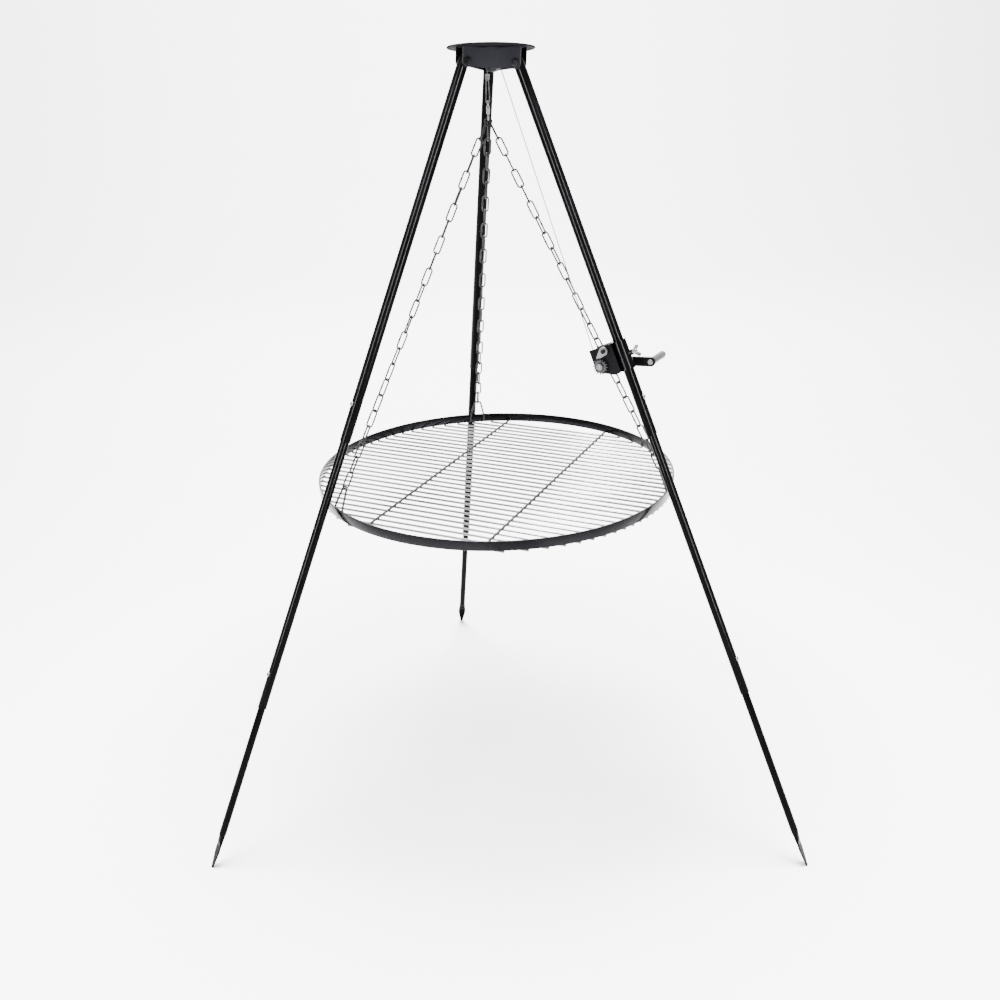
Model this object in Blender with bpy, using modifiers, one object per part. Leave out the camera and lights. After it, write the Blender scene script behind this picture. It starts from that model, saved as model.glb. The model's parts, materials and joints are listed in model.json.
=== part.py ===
"""Campfire tripod with a winch that hoists a round hanging grate.

World frame: metres, +Z up, feet on z = 0, the origin under the middle of the whole object.
The winch leg stands at the front right (+X, -Y), the plain legs at the front left and at the back.
The three legs fold on bolts in the head.  They stand at slightly different splays on the
ground, so the head leans a little, while the grate hangs plumb from its rope.
"""

import math

import bmesh
import bpy
from mathutils import Matrix, Vector

# ---------------------------------------------------------------- driving dimensions
GAP = 0.0003                      # between two pieces that touch

LEG_NAMES = ("left", "right", "back")
LEG_AZIMUTH = {"left": 210.0, "right": 330.0, "back": 90.0}       # about the head's axis
LEG_SPLAY = {"left": 19.70, "right": 26.16, "back": 22.56}        # from the head's axis
LEG_LENGTH = 1.8063               # fold bolt to the tip of the foot
LEG_TOP = 0.0112                  # tube above the fold bolt
UPPER_RADIUS = 0.0110
MIDDLE_RADIUS = 0.0095
LOWER_RADIUS = 0.0080
TUBE_WALL = 0.0012
# From the fold bolt to the ends of the upper and of the middle tube; each leg is drawn out
# and screwed together a little differently.
UPPER_END = {"left": 0.787, "right": 0.778, "back": 0.782}
MIDDLE_END = {"left": 1.405, "right": 1.376, "back": 1.391}
TUBE_OVERLAP = 0.120              # how far a tube reaches up inside the one above
SCREW_ABOVE_END = 0.081
FOOT_FLAT = 0.055                 # length of the flattened, pointed end
FOOT_WIDTH = 0.021
FOOT_THICKNESS = 0.0032
FOOT_TIP = 0.006

PIVOT_RADIUS = 0.0613             # fold bolts, from the head's axis
DISC_RADIUS = 0.0874
DISC_THICKNESS = 0.0030
DISC_UNDERSIDE = 0.0226           # above the plane of the fold bolts, at the middle
DISC_TILT = (-5.9, -2.2)          # of the disc on the brackets, about the head's X and Y
SHEET = 0.0025                    # folded sheet of the head brackets and the winch frame
BRACKET_HALF_WIDTH = 0.0305       # flat front of a bracket
BRACKET_BOTTOM = -0.0121
BACK_WING_BOTTOM = -0.0185        # wings that hold the back leg reach lower
WING_END = 0.0720                 # outer end of a bracket's wing, along the leg's radius
WING_CORNER = 0.009
BOLT_RADIUS = 0.0040

PULLEY_RADIUS = 0.0175
PULLEY_GROOVE = 0.0115
PULLEY_WIDTH = 0.0110
PULLEY_CENTRE = (0.0050, -0.0025)  # outwards towards the winch leg, and up
PULLEY_BORE = 0.0033
ROPE_RADIUS = 0.0010
ROPE_WRAP = PULLEY_GROOVE + GAP + ROPE_RADIUS

WINCH_DOWN = 0.6033               # fold bolt to the middle of the winch sleeve
SLEEVE_RADIUS = 0.0150
SLEEVE_HALF = 0.0310
DRUM_CENTRE = (-0.0458, -0.0058)  # inwards of the leg, and up from the sleeve's middle
AXLE_RADIUS = 0.0040
DRUM_HALF = 0.0165
DRUM_CORE = 0.0095
DRUM_FLANGE = 0.0170
COIL_RADIUS = 0.0145
PLATE_FACE = 0.0210               # outer face of the winch frame's side plates
WHEEL_NEAR = 0.0235               # ratchet wheel and pawl, nearer and further face
WHEEL_FAR = 0.0275
RATCHET_TEETH = 16
RATCHET_TIP = 0.0168
RATCHET_ROOT = 0.0128
PAWL_PIVOT = (-0.0279, 0.0219)
PAWL_HEAD = 0.0092
CRANK_END = (0.0364, -0.0344)
CRANK_NEAR = 0.0330               # crank arm, nearer and further face
CRANK_FAR = 0.0370
CRANK_HALF_WIDTH = 0.0098
GRIP_LENGTH = 0.0750
GRIP_RADIUS = 0.0078

GRATE_RADIUS = 0.4000
RIM_THICKNESS = 0.0040
RIM_HEIGHT = 0.0205
RIM_TOP = 0.8070
ROD_AZIMUTH = -27.0
ROD_RADIUS = 0.0025
ROD_PITCH = 0.0238
ROD_COUNT = 31
CROSS_BAR_OFFSET = 0.132
HANGER_AZIMUTH = {"right": -22.5, "back": 94.5, "left": 210.0}
HANGER_RISE = 0.042
HANGER_LEAN = 0.020
HANGER_HALF_WIDTH = 0.017
HANGER_RADIUS = 0.0022
HANGER_BEND = 0.0085              # middle of the wire round the top of a hanger

FERRULE_TOP = -0.0230             # heights in the hanging string, from the fold bolts' middle
FERRULE_BOTTOM = -0.0340
EYE_BOTTOM = -0.0780
BARREL_TOP = -0.0828               # round barrel that the hook turns in
BARREL_BOTTOM = -0.0985
BARREL_RADIUS = 0.0036
HOOK_BOTTOM = -0.1090
HOOK_WIRE = 0.0016
RING_RADIUS = 0.0070
RING_WIRE = 0.0016
RING_SEAT = {"left": -46.0, "right": 46.0, "back": 0.0}           # round the ring, from its bottom
TOP_LINK_LENGTH = 0.0375
TOP_LINK_HALF_WIDTH = 0.0074
TOP_LINK_WIRE = 0.0017
CHAIN_LINKS = 22                  # even, so that the last link crosses its hanger
CHAIN_WIRE = 0.0017
CHAIN_HALF_WIDTH = 0.0062         # to the middle of the wire

BLACK = ("black_paint", (0.012, 0.012, 0.014), 0.0, 0.28)
ZINC = ("zinc", (0.62, 0.62, 0.63), 1.0, 0.34)
DARK_FIXING = ("dark_fixings", (0.035, 0.035, 0.038), 0.9, 0.38)
GRATE_STEEL = ("grate_steel", (0.50, 0.50, 0.51), 1.0, 0.25)
RIM_STEEL = ("rim_steel", (0.20, 0.20, 0.21), 1.0, 0.30)
GRIP_PLASTIC = ("grip_plastic", (0.45, 0.45, 0.46), 0.0, 0.45)

RAD = math.radians
ALONG_Y = (RAD(-90), 0, 0)        # turns a piece made along +Z to lie along +Y
ALONG_X = (0, RAD(90), 0)
FACING_Y = (RAD(90), 0, 0)        # stands an outline drawn in XY up in the XZ plane


# ---------------------------------------------------------------- helpers
def clear_scene():
    for obj in list(bpy.data.objects):
        bpy.data.objects.remove(obj, do_unlink=True)


def new_collection(name):
    collection = bpy.data.collections.get(name) or bpy.data.collections.new(name)
    if collection.name not in bpy.context.scene.collection.children:
        bpy.context.scene.collection.children.link(collection)
    return collection


def material(spec):
    name, colour, metallic, roughness = spec
    found = bpy.data.materials.get(name)
    if found:
        return found
    made = bpy.data.materials.new(name)
    made.use_nodes = True
    shader = made.node_tree.nodes["Principled BSDF"]
    shader.inputs["Base Color"].default_value = (*colour, 1.0)
    shader.inputs["Metallic"].default_value = metallic
    shader.inputs["Roughness"].default_value = roughness
    return made


def frame_empty(name, parent=None, matrix=Matrix.Identity(4)):
    empty = bpy.data.objects.new(name, None)
    PARTS.objects.link(empty)
    empty.parent = parent
    empty.matrix_basis = matrix
    bpy.context.view_layer.update()
    return empty


def place(obj, parent, finish, location=(0, 0, 0), rotation=(0, 0, 0)):
    """Put a finished piece in the parts collection, on its parent frame."""
    for collection in list(obj.users_collection):
        collection.objects.unlink(obj)
    PARTS.objects.link(obj)
    obj.parent = parent
    obj.location = location
    obj.rotation_euler = rotation
    if finish:
        obj.data.materials.clear()
        obj.data.materials.append(material(finish))
    return obj


def shade_round(mesh, angle=40):
    mesh.shade_smooth()
    mesh.set_sharp_from_angle(angle=RAD(angle))


def mesh_object(name, bm):
    bmesh.ops.recalc_face_normals(bm, faces=bm.faces)
    mesh = bpy.data.meshes.new(name)
    bm.to_mesh(mesh)
    bm.free()
    shade_round(mesh)
    obj = bpy.data.objects.new(name, mesh)
    CUTTERS.objects.link(obj)
    return obj


def turned(name, profile, steps=24, ring=False):
    """A profile of (radius, height), down its outer side, turned about Z."""
    mesh = bpy.data.meshes.new(name)
    points = [(radius, 0.0, height) for radius, height in profile]
    edges = [(i, i + 1) for i in range(len(points) - 1)]
    if ring:
        edges.append((len(points) - 1, 0))
    mesh.from_pydata(points, edges, [])
    obj = bpy.data.objects.new(name, mesh)
    CUTTERS.objects.link(obj)
    screw = obj.modifiers.new("turn", "SCREW")
    screw.axis = "Z"
    screw.angle = RAD(360)
    screw.steps = steps
    screw.render_steps = steps
    screw.use_merge_vertices = True
    screw.merge_threshold = 0.00001
    screw.use_smooth_shade = True
    return obj


def bush(name, outer, inner, low, high, steps=24):
    profile = [(outer, high), (outer, low), (inner, low), (inner, high)]
    return turned(name, profile, steps, ring=True)


def cylinder(name, radius, start, end, sides=16):
    """A round bar between two points."""
    start = Vector(start)
    end = Vector(end)
    axis = end - start
    bm = bmesh.new()
    bmesh.ops.create_cone(bm, cap_ends=True, segments=sides, radius1=radius, radius2=radius,
                          depth=axis.length)
    turn = Vector((0, 0, 1)).rotation_difference(axis).to_matrix().to_4x4()
    bmesh.ops.transform(bm, matrix=Matrix.Translation((start + end) / 2) @ turn, verts=bm.verts)
    return mesh_object(name, bm)


def box(name, low, high):
    low = Vector(low)
    high = Vector(high)
    bm = bmesh.new()
    bmesh.ops.create_cube(bm, size=1)
    bmesh.ops.scale(bm, vec=high - low, verts=bm.verts)
    bmesh.ops.translate(bm, vec=(low + high) / 2, verts=bm.verts)
    return mesh_object(name, bm)


def outline(name, loops, thickness):
    """A flat plate in XY from closed loops of points; the later loops are holes."""
    curve = bpy.data.curves.new(name, "CURVE")
    curve.dimensions = "2D"
    curve.fill_mode = "BOTH"
    curve.extrude = thickness / 2
    for loop in loops:
        spline = curve.splines.new("POLY")
        spline.points.add(len(loop) - 1)
        for point, (x, y) in zip(spline.points, loop):
            point.co = (x, y, 0, 1)
        spline.use_cyclic_u = True
    obj = bpy.data.objects.new(name, curve)
    CUTTERS.objects.link(obj)
    return obj


def wire(name, points, radius, closed=False):
    curve = bpy.data.curves.new(name, "CURVE")
    curve.dimensions = "3D"
    curve.bevel_depth = radius
    curve.bevel_resolution = 2
    curve.use_fill_caps = True
    spline = curve.splines.new("POLY")
    spline.points.add(len(points) - 1)
    for point, place_at in zip(spline.points, points):
        point.co = (*place_at, 1)
    spline.use_cyclic_u = closed
    obj = bpy.data.objects.new(name, curve)
    CUTTERS.objects.link(obj)
    return obj


def as_mesh(obj):
    """Replace an object by its evaluated, welded mesh."""
    graph = bpy.context.evaluated_depsgraph_get()
    mesh = bpy.data.meshes.new_from_object(obj.evaluated_get(graph))
    bm = bmesh.new()
    bm.from_mesh(mesh)
    bmesh.ops.remove_doubles(bm, verts=bm.verts, dist=0.000005)
    bmesh.ops.recalc_face_normals(bm, faces=bm.faces)
    bm.to_mesh(mesh)
    bm.free()
    name = obj.name
    made = bpy.data.objects.new(name, mesh)
    made.matrix_world = obj.matrix_world.copy()
    bpy.data.objects.remove(obj, do_unlink=True)
    made.name = name
    CUTTERS.objects.link(made)
    shade_round(mesh)
    return made


def boolean(obj, other, operation):
    """Add a Boolean with another object, which becomes a hidden guide."""
    other.hide_render = True
    other.display_type = "WIRE"
    cut = obj.modifiers.new(operation.lower(), "BOOLEAN")
    cut.operation = operation
    cut.solver = "EXACT"
    cut.object = other
    return obj


def drill(obj, parent, radius, start, end, sides=16):
    """Bore a round hole through a piece; the drill stays on the piece's own frame."""
    cutter = cylinder(obj.name + "_drill", radius, start, end, sides)
    cutter.parent = parent
    return boolean(obj, cutter, "DIFFERENCE")


def arc(centre, radius, first, last, steps):
    """Points on a circle, angles in degrees."""
    points = []
    for i in range(steps + 1):
        angle = RAD(first + (last - first) * i / steps)
        points.append((centre[0] + radius * math.cos(angle), centre[1] + radius * math.sin(angle)))
    return points


def circle(centre, radius, sides=16):
    return arc(centre, radius, 0, 360 * (sides - 1) / sides, sides - 1)


def oval(straight, radius):
    """Outline of a flat sleeve: two half circles joined by straight sides along X."""
    return arc((straight, 0), radius, -90, 90, 8) + arc((-straight, 0), radius, 90, 270, 8)


def hexagon(radius):
    return circle((0, 0), radius, 6)


def join_meshes(name, objects):
    """One mesh object from several that don't touch."""
    bm = bmesh.new()
    for obj in objects:
        part = obj.data.copy()
        part.transform(obj.matrix_basis)
        bm.from_mesh(part)
        bpy.data.meshes.remove(part)
        bpy.data.objects.remove(obj, do_unlink=True)
    return mesh_object(name, bm)


# ---------------------------------------------------------------- frames
def leg_matrix(leg):
    """Leg frame in the head frame: origin on the fold bolt, -Z down the leg, +X outwards."""
    turn = Matrix.Rotation(RAD(LEG_AZIMUTH[leg]), 4, "Z")
    out = Matrix.Translation((PIVOT_RADIUS, 0, 0))
    splay = Matrix.Rotation(RAD(-LEG_SPLAY[leg]), 4, "Y")
    return turn @ out @ splay


def head_matrix():
    """Head frame in the world: the three foot tips stand on z = 0."""
    tips = [leg_matrix(leg) @ Vector((0, 0, -LEG_LENGTH)) for leg in LEG_NAMES]
    up = (tips[1] - tips[0]).cross(tips[2] - tips[0]).normalized()
    if up.z < 0:
        up = -up
    level = up.rotation_difference(Vector((0, 0, 1))).to_matrix().to_4x4()
    stood = [level @ tip for tip in tips]
    middle_x = (min(tip.x for tip in stood) + max(tip.x for tip in stood)) / 2
    middle_y = (min(tip.y for tip in stood) + max(tip.y for tip in stood)) / 2
    return Matrix.Translation((-middle_x, -middle_y, -stood[0].z)) @ level


def disc_matrix():
    """Disc frame in the head frame: origin in the middle of the disc's underside."""
    about_x, about_y = DISC_TILT
    turn = Matrix.Rotation(RAD(about_y), 4, "Y") @ Matrix.Rotation(RAD(about_x), 4, "X")
    return Matrix.Translation((0, 0, DISC_UNDERSIDE)) @ turn


def winch_matrix():
    return Matrix.Translation((0, 0, -WINCH_DOWN))


def pulley_matrix():
    """Pulley frame in the head frame: +X towards the winch leg, +Y along the axle."""
    turn = Matrix.Rotation(RAD(LEG_AZIMUTH["right"]), 4, "Z")
    return turn @ Matrix.Translation((PULLEY_CENTRE[0], 0, PULLEY_CENTRE[1]))


# ---------------------------------------------------------------- head
def make_disc(head):
    frame = frame_empty("disc_frame", head, disc_matrix())
    edge = 0.0008
    profile = [(0, DISC_THICKNESS), (DISC_RADIUS - edge, DISC_THICKNESS),
               (DISC_RADIUS, DISC_THICKNESS - edge), (DISC_RADIUS, edge),
               (DISC_RADIUS - edge, 0), (0, 0)]
    place(turned("top_disc", profile, 64), frame, BLACK)
    return frame


def trim_under_disc(obj, frame):
    """Cut a piece off just under the tilted disc."""
    above = box(obj.name + "_trim", (-0.2, -0.2, -GAP), (0.2, 0.2, 0.05))
    above.parent = frame
    boolean(obj, above, "DIFFERENCE")


def wing_points(side):
    """Middle of a wing's sheet in plan: its fold and a function along the leg's radius."""
    offset = UPPER_RADIUS + GAP * 2 + SHEET / 2
    along = Vector((math.cos(RAD(60)), side * math.sin(RAD(60)), 0))
    away = Vector((math.sin(RAD(60)), -side * math.cos(RAD(60)), 0)) * offset
    fold_radius = (BRACKET_HALF_WIDTH + abs(away.y)) / abs(along.y)
    return along, away, fold_radius


def make_bracket(head, disc, name, azimuth, neighbours, legs):
    """A folded sheet: a flat front and two wings that hold the neighbouring legs."""
    top = DISC_UNDERSIDE + 0.010
    bm = bmesh.new()
    folds = []
    for side, leg in zip((-1, 1), neighbours):
        along, away, fold_radius = wing_points(side)
        bottom = BACK_WING_BOTTOM if leg == "back" else BRACKET_BOTTOM
        start = along * fold_radius + away
        end = along * WING_END + away
        reach = (end - start).length
        corner = arc((reach - WING_CORNER, bottom + WING_CORNER), WING_CORNER, 0, -90, 4)
        loop = [(0, top), (reach, top)] + corner + [(0, bottom)]
        verts = [bm.verts.new(start + along * u + Vector((0, 0, z))) for u, z in loop]
        bm.faces.new(verts)
        folds.append((verts[0], verts[-1]))
    bm.faces.new((folds[0][0], folds[0][1], folds[1][1], folds[1][0]))
    bracket = mesh_object(name, bm)
    shell = bracket.modifiers.new("sheet", "SOLIDIFY")
    shell.thickness = SHEET
    shell.offset = 0
    shell.use_even_offset = True
    place(bracket, head, BLACK, rotation=(0, 0, RAD(azimuth)))
    trim_under_disc(bracket, disc)
    for leg in neighbours:
        drill(bracket, legs[leg], BOLT_RADIUS + GAP, (0, -0.03, 0), (0, 0.03, 0))


def make_fold_bolt(leg, frame):
    """Bolt and nut across a leg, through the wings on both its sides."""
    face = UPPER_RADIUS + GAP * 3 + SHEET
    head_height = 0.0045
    nut_height = 0.0050
    length = 2 * face + nut_height + 0.002
    profile = [(0, length), (BOLT_RADIUS - 0.0005, length), (BOLT_RADIUS, length - 0.0005),
               (BOLT_RADIUS, 0), (0.0072, 0), (0.0072, -head_height * 0.6),
               (0.0052, -head_height), (0, -head_height)]
    place(turned("fold_bolt_" + leg, profile, 16), frame, DARK_FIXING, (0, -face, 0), ALONG_Y)
    nut = outline("fold_nut_" + leg, [hexagon(0.0075), circle((0, 0), BOLT_RADIUS + GAP, 12)],
                  nut_height)
    place(nut, frame, DARK_FIXING, (0, face + nut_height / 2, 0), FACING_Y)


def make_pulley(head, disc):
    frame = frame_empty("pulley_frame", head, pulley_matrix())
    up = DISC_UNDERSIDE + 0.001 - PULLEY_CENTRE[1]
    half = PULLEY_WIDTH / 2 + 0.0008
    outer = half + 0.002
    low = -0.0075
    strap = [(-outer, up), (-outer, low), (-half, low), (-half, up - 0.004),
             (half, up - 0.004), (half, low), (outer, low), (outer, up)]
    bracket = as_mesh(outline("pulley_bracket", [strap], 0.015))
    stand = Matrix.Rotation(RAD(90), 4, "Z") @ Matrix.Rotation(RAD(90), 4, "X")
    bracket.data.transform(stand)
    place(bracket, frame, BLACK)
    trim_under_disc(bracket, disc)
    drill(bracket, frame, PULLEY_BORE, (0, -0.02, 0), (0, 0.02, 0))
    rivet = 0.003
    end = outer + GAP
    profile = [(0, end + 0.0015), (0.0045, end + 0.0015), (0.0045, end), (rivet, end),
               (rivet, -end), (0.0045, -end), (0.0045, -end - 0.0015), (0, -end - 0.0015)]
    place(turned("pulley_axle", profile, 16), frame, ZINC, (0, 0, 0), ALONG_Y)
    groove_half = ROPE_RADIUS + 0.0006
    cheek = PULLEY_WIDTH / 2
    profile = [(PULLEY_BORE, cheek), (PULLEY_RADIUS, cheek), (PULLEY_RADIUS, cheek - 0.0012),
               (PULLEY_GROOVE, groove_half), (PULLEY_GROOVE, -groove_half),
               (PULLEY_RADIUS, -cheek + 0.0012), (PULLEY_RADIUS, -cheek), (PULLEY_BORE, -cheek)]
    place(turned("pulley_wheel", profile, 32, ring=True), frame, ZINC, (0, 0, 0), ALONG_Y)
    return frame


# ---------------------------------------------------------------- legs
def make_tube(name, frame, radius, bore, top, bottom, holes):
    tube = place(bush(name, radius, bore, bottom, top, 24), frame, BLACK)
    reach = radius + 0.002
    for height, hole, both_walls in holes:
        if both_walls:
            drill(tube, frame, hole, (0, -reach, height), (0, reach, height))
        else:
            drill(tube, frame, hole, (0, 0, height), (reach, 0, height), 12)
    return tube


def ring_of(bm, points):
    return [bm.verts.new(point) for point in points]


def bridge(bm, ring, following):
    count = len(ring)
    for i in range(count):
        j = (i + 1) % count
        bm.faces.new((ring[i], ring[j], following[j], following[i]))


def foot_section(half_x, half_y, height, count, square=0.0):
    """A flattened round section; square runs from an ellipse (0) to a rectangle (1)."""
    points = []
    for i in range(count):
        angle = 2 * math.pi * (i + 0.5) / count
        x = math.cos(angle)
        y = math.sin(angle)
        grow = 1 + square * (1 / max(abs(x), abs(y)) - 1)
        points.append(Vector((half_x * x * grow, half_y * y * grow, height)))
    return points


def make_lower_tube(leg, frame, top, screw_height):
    """The lowest tube: its end is pressed flat across the leg and cut to a point."""
    count = 16
    bore = LOWER_RADIUS - TUBE_WALL
    round_end = -LEG_LENGTH + FOOT_FLAT + 0.035
    sections = [(LOWER_RADIUS, LOWER_RADIUS, top, 0.0),
                (LOWER_RADIUS, LOWER_RADIUS, round_end, 0.0),
                (LOWER_RADIUS * 0.62, LOWER_RADIUS * 1.12, round_end - 0.018, 0.2),
                (FOOT_THICKNESS / 2, FOOT_WIDTH / 2, round_end - 0.035, 0.6),
                (FOOT_THICKNESS / 2, FOOT_WIDTH / 2, round_end - 0.047, 0.8)]
    bm = bmesh.new()
    rings = [ring_of(bm, foot_section(x, y, z, count, square)) for x, y, z, square in sections]
    ground = frame.matrix_world.inverted()
    tip = [frame.matrix_world @ point
           for point in foot_section(FOOT_THICKNESS / 2, FOOT_TIP / 2, -LEG_LENGTH, count, 1.0)]
    down = (frame.matrix_world.to_3x3() @ Vector((0, 0, -1))).normalized()
    landed = [ground @ (point - down * (point.z / down.z)) for point in tip]
    rings.append(ring_of(bm, landed))
    for ring, following in zip(rings, rings[1:]):
        bridge(bm, ring, following)
    bm.faces.new(rings[-1])
    inner_top = ring_of(bm, foot_section(bore, bore, top, count))
    inner_end = ring_of(bm, foot_section(bore, bore, round_end + 0.004, count))
    bridge(bm, inner_top, rings[0])
    bridge(bm, inner_end, inner_top)
    bm.faces.new(inner_end)
    tube = place(mesh_object("lower_tube_" + leg, bm), frame, BLACK)
    drill(tube, frame, 0.0028, (0, 0, screw_height), (LOWER_RADIUS + 0.002, 0, screw_height), 12)


def make_joint_screw(name, frame, radius, height):
    """A round-headed screw through both tube walls on the outer side of the leg."""
    profile = [(0, 0.0032), (0.0030, 0.0026), (0.0050, 0), (0.0025, 0), (0.0025, -0.005),
               (0, -0.005)]
    place(turned(name, profile, 16), frame, ZINC, (radius + GAP, 0, height), ALONG_X)


def make_leg(leg, head):
    frame = frame_empty("leg_frame_" + leg, head, leg_matrix(leg))
    upper_end = -UPPER_END[leg]
    middle_end = -MIDDLE_END[leg]
    upper_screw = upper_end + SCREW_ABOVE_END
    middle_screw = middle_end + SCREW_ABOVE_END
    screw_hole = 0.0028
    make_tube("upper_tube_" + leg, frame, UPPER_RADIUS, MIDDLE_RADIUS + GAP, LEG_TOP, upper_end,
              [(0, BOLT_RADIUS + GAP, True), (upper_screw, screw_hole, False)])
    make_tube("middle_tube_" + leg, frame, MIDDLE_RADIUS, LOWER_RADIUS + GAP,
              upper_end + TUBE_OVERLAP, middle_end,
              [(upper_screw, screw_hole, False), (middle_screw, screw_hole, False)])
    make_lower_tube(leg, frame, middle_end + TUBE_OVERLAP, middle_screw)
    make_joint_screw("upper_screw_" + leg, frame, UPPER_RADIUS, upper_screw)
    make_joint_screw("lower_screw_" + leg, frame, MIDDLE_RADIUS, middle_screw)
    make_fold_bolt(leg, frame)
    return frame


# ---------------------------------------------------------------- winch
def make_sleeve(frame):
    """Clamp sleeve round the leg, with the boss that its wing screw is threaded into."""
    sleeve = as_mesh(bush("winch_sleeve", SLEEVE_RADIUS, UPPER_RADIUS + GAP, -SLEEVE_HALF,
                          SLEEVE_HALF, 32))
    boss = cylinder("winch_sleeve_boss", 0.0058, (SLEEVE_RADIUS - 0.0015, 0, 0), (0.0215, 0, 0))
    place(sleeve, frame, BLACK)
    boss.parent = frame
    boolean(sleeve, boss, "UNION")
    drill(sleeve, frame, 0.0033, (UPPER_RADIUS - 0.001, 0, 0), (0.03, 0, 0), 12)


def make_wing_screw(frame):
    """Thumb screw that clamps the sleeve: a threaded shank, a hub and two flat wings."""
    profile = [(0, 0.0190), (0.0045, 0.0190), (0.0052, 0.0175), (0.0052, 0.0105),
               (0.0030, 0.0105), (0.0030, 0), (0, 0)]
    hub = as_mesh(turned("wing_screw", profile, 16))
    wing = [(-0.0045, 0.0120)] + arc((-0.0085, 0.0215), 0.0042, 200, 20, 5)
    wing += [(0, 0.0165)] + arc((0.0085, 0.0215), 0.0042, 160, -20, 5) + [(0.0045, 0.0120)]
    wings = as_mesh(outline("wing_screw_wings", [wing], 0.0022))
    wings.data.transform(Matrix.Rotation(RAD(90), 4, "X"))
    place(hub, frame, ZINC, (UPPER_RADIUS + GAP, 0, 0), ALONG_X)
    wings.parent = hub
    boolean(hub, wings, "UNION")


def make_winch_frame(frame):
    """U of folded sheet on the inner side of the sleeve; the drum turns between its plates."""
    back = -SLEEVE_RADIUS - GAP
    tip = -0.0600
    inside = PLATE_FACE - SHEET
    front_edge = -0.0095
    half = 0.0315
    body = place(box("winch_frame", (tip, -PLATE_FACE, -half), (front_edge, PLATE_FACE, half)),
                 frame, BLACK)
    over = half + 0.01
    for low, high in ((tip - 0.01, back - SHEET), (back, front_edge + 0.01)):
        pocket = box("winch_frame_pocket", (low, -inside, -over), (high, inside, over))
        pocket.parent = frame
        boolean(body, pocket, "DIFFERENCE")
    corner = [(-0.0700, -0.0120), (-0.0470, -0.0210), (-0.0230, -0.0318), (-0.0080, -0.0305),
              (-0.0080, -0.0500), (-0.0700, -0.0500)]
    trim = outline("winch_frame_trim", [corner], 0.06)
    trim.rotation_euler = FACING_Y
    trim = as_mesh_on(trim, frame)
    boolean(body, trim, "DIFFERENCE")
    drum_x, drum_z = DRUM_CENTRE
    drill(body, frame, AXLE_RADIUS + GAP, (drum_x, -0.03, drum_z), (drum_x, 0.03, drum_z))
    pawl_x, pawl_z = PAWL_PIVOT
    drill(body, frame, 0.0033, (pawl_x, -0.03, pawl_z), (pawl_x, -0.01, pawl_z))


def as_mesh_on(obj, parent):
    bpy.context.view_layer.update()
    made = as_mesh(obj)
    turn = made.matrix_world.copy()
    made.parent = parent
    made.matrix_basis = turn
    return made


def make_drum(frame):
    """Rope drum, its rope, its axle with an end nut, and the ratchet wheel."""
    x, z = DRUM_CENTRE
    at = (x, 0, z)
    bore = AXLE_RADIUS + GAP
    flange = DRUM_HALF - 0.0015
    profile = [(bore, DRUM_HALF), (DRUM_FLANGE, DRUM_HALF), (DRUM_FLANGE, flange),
               (DRUM_CORE, flange), (DRUM_CORE, -flange), (DRUM_FLANGE, -flange),
               (DRUM_FLANGE, -DRUM_HALF), (bore, -DRUM_HALF)]
    place(turned("winch_drum", profile, 28, ring=True), frame, ZINC, at, ALONG_Y)
    coil_half = flange - GAP
    coil = bush("rope_coil", COIL_RADIUS, DRUM_CORE + GAP, -coil_half, coil_half, 28)
    place(coil, frame, ZINC, at, ALONG_Y)
    front = -WHEEL_FAR - 0.0058
    profile = [(0, CRANK_FAR + 0.001), (AXLE_RADIUS, CRANK_FAR + 0.001), (AXLE_RADIUS, front),
               (0, front)]
    place(turned("winch_axle", profile, 20), frame, ZINC, at, ALONG_Y)
    nut = outline("axle_nut", [hexagon(0.0072), circle((0, 0), bore, 16)], 0.0045)
    place(nut, frame, ZINC, (x, -WHEEL_FAR - GAP - 0.00225, z), FACING_Y)
    spacer_low = PLATE_FACE + GAP
    spacer = bush("crank_spacer", 0.0065, bore, spacer_low, CRANK_NEAR - GAP, 20)
    place(spacer, frame, BLACK, at, ALONG_Y)
    make_ratchet(frame, at, bore)


def make_ratchet(frame, at, bore):
    """Saw-toothed wheel on the front end of the drum's axle."""
    teeth = []
    pitch = 360 / RATCHET_TEETH
    for tooth in range(RATCHET_TEETH):
        angle = tooth * pitch
        teeth += arc((0, 0), RATCHET_TIP, angle, angle + pitch * 0.16, 1)
        teeth += arc((0, 0), RATCHET_ROOT, angle + pitch * 0.34, angle + pitch * 0.86, 1)
    wheel = outline("ratchet_wheel", [teeth, circle((0, 0), bore, 20)], WHEEL_FAR - WHEEL_NEAR)
    place(wheel, frame, ZINC, (at[0], -(WHEEL_FAR + WHEEL_NEAR) / 2, at[2]), FACING_Y)


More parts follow.
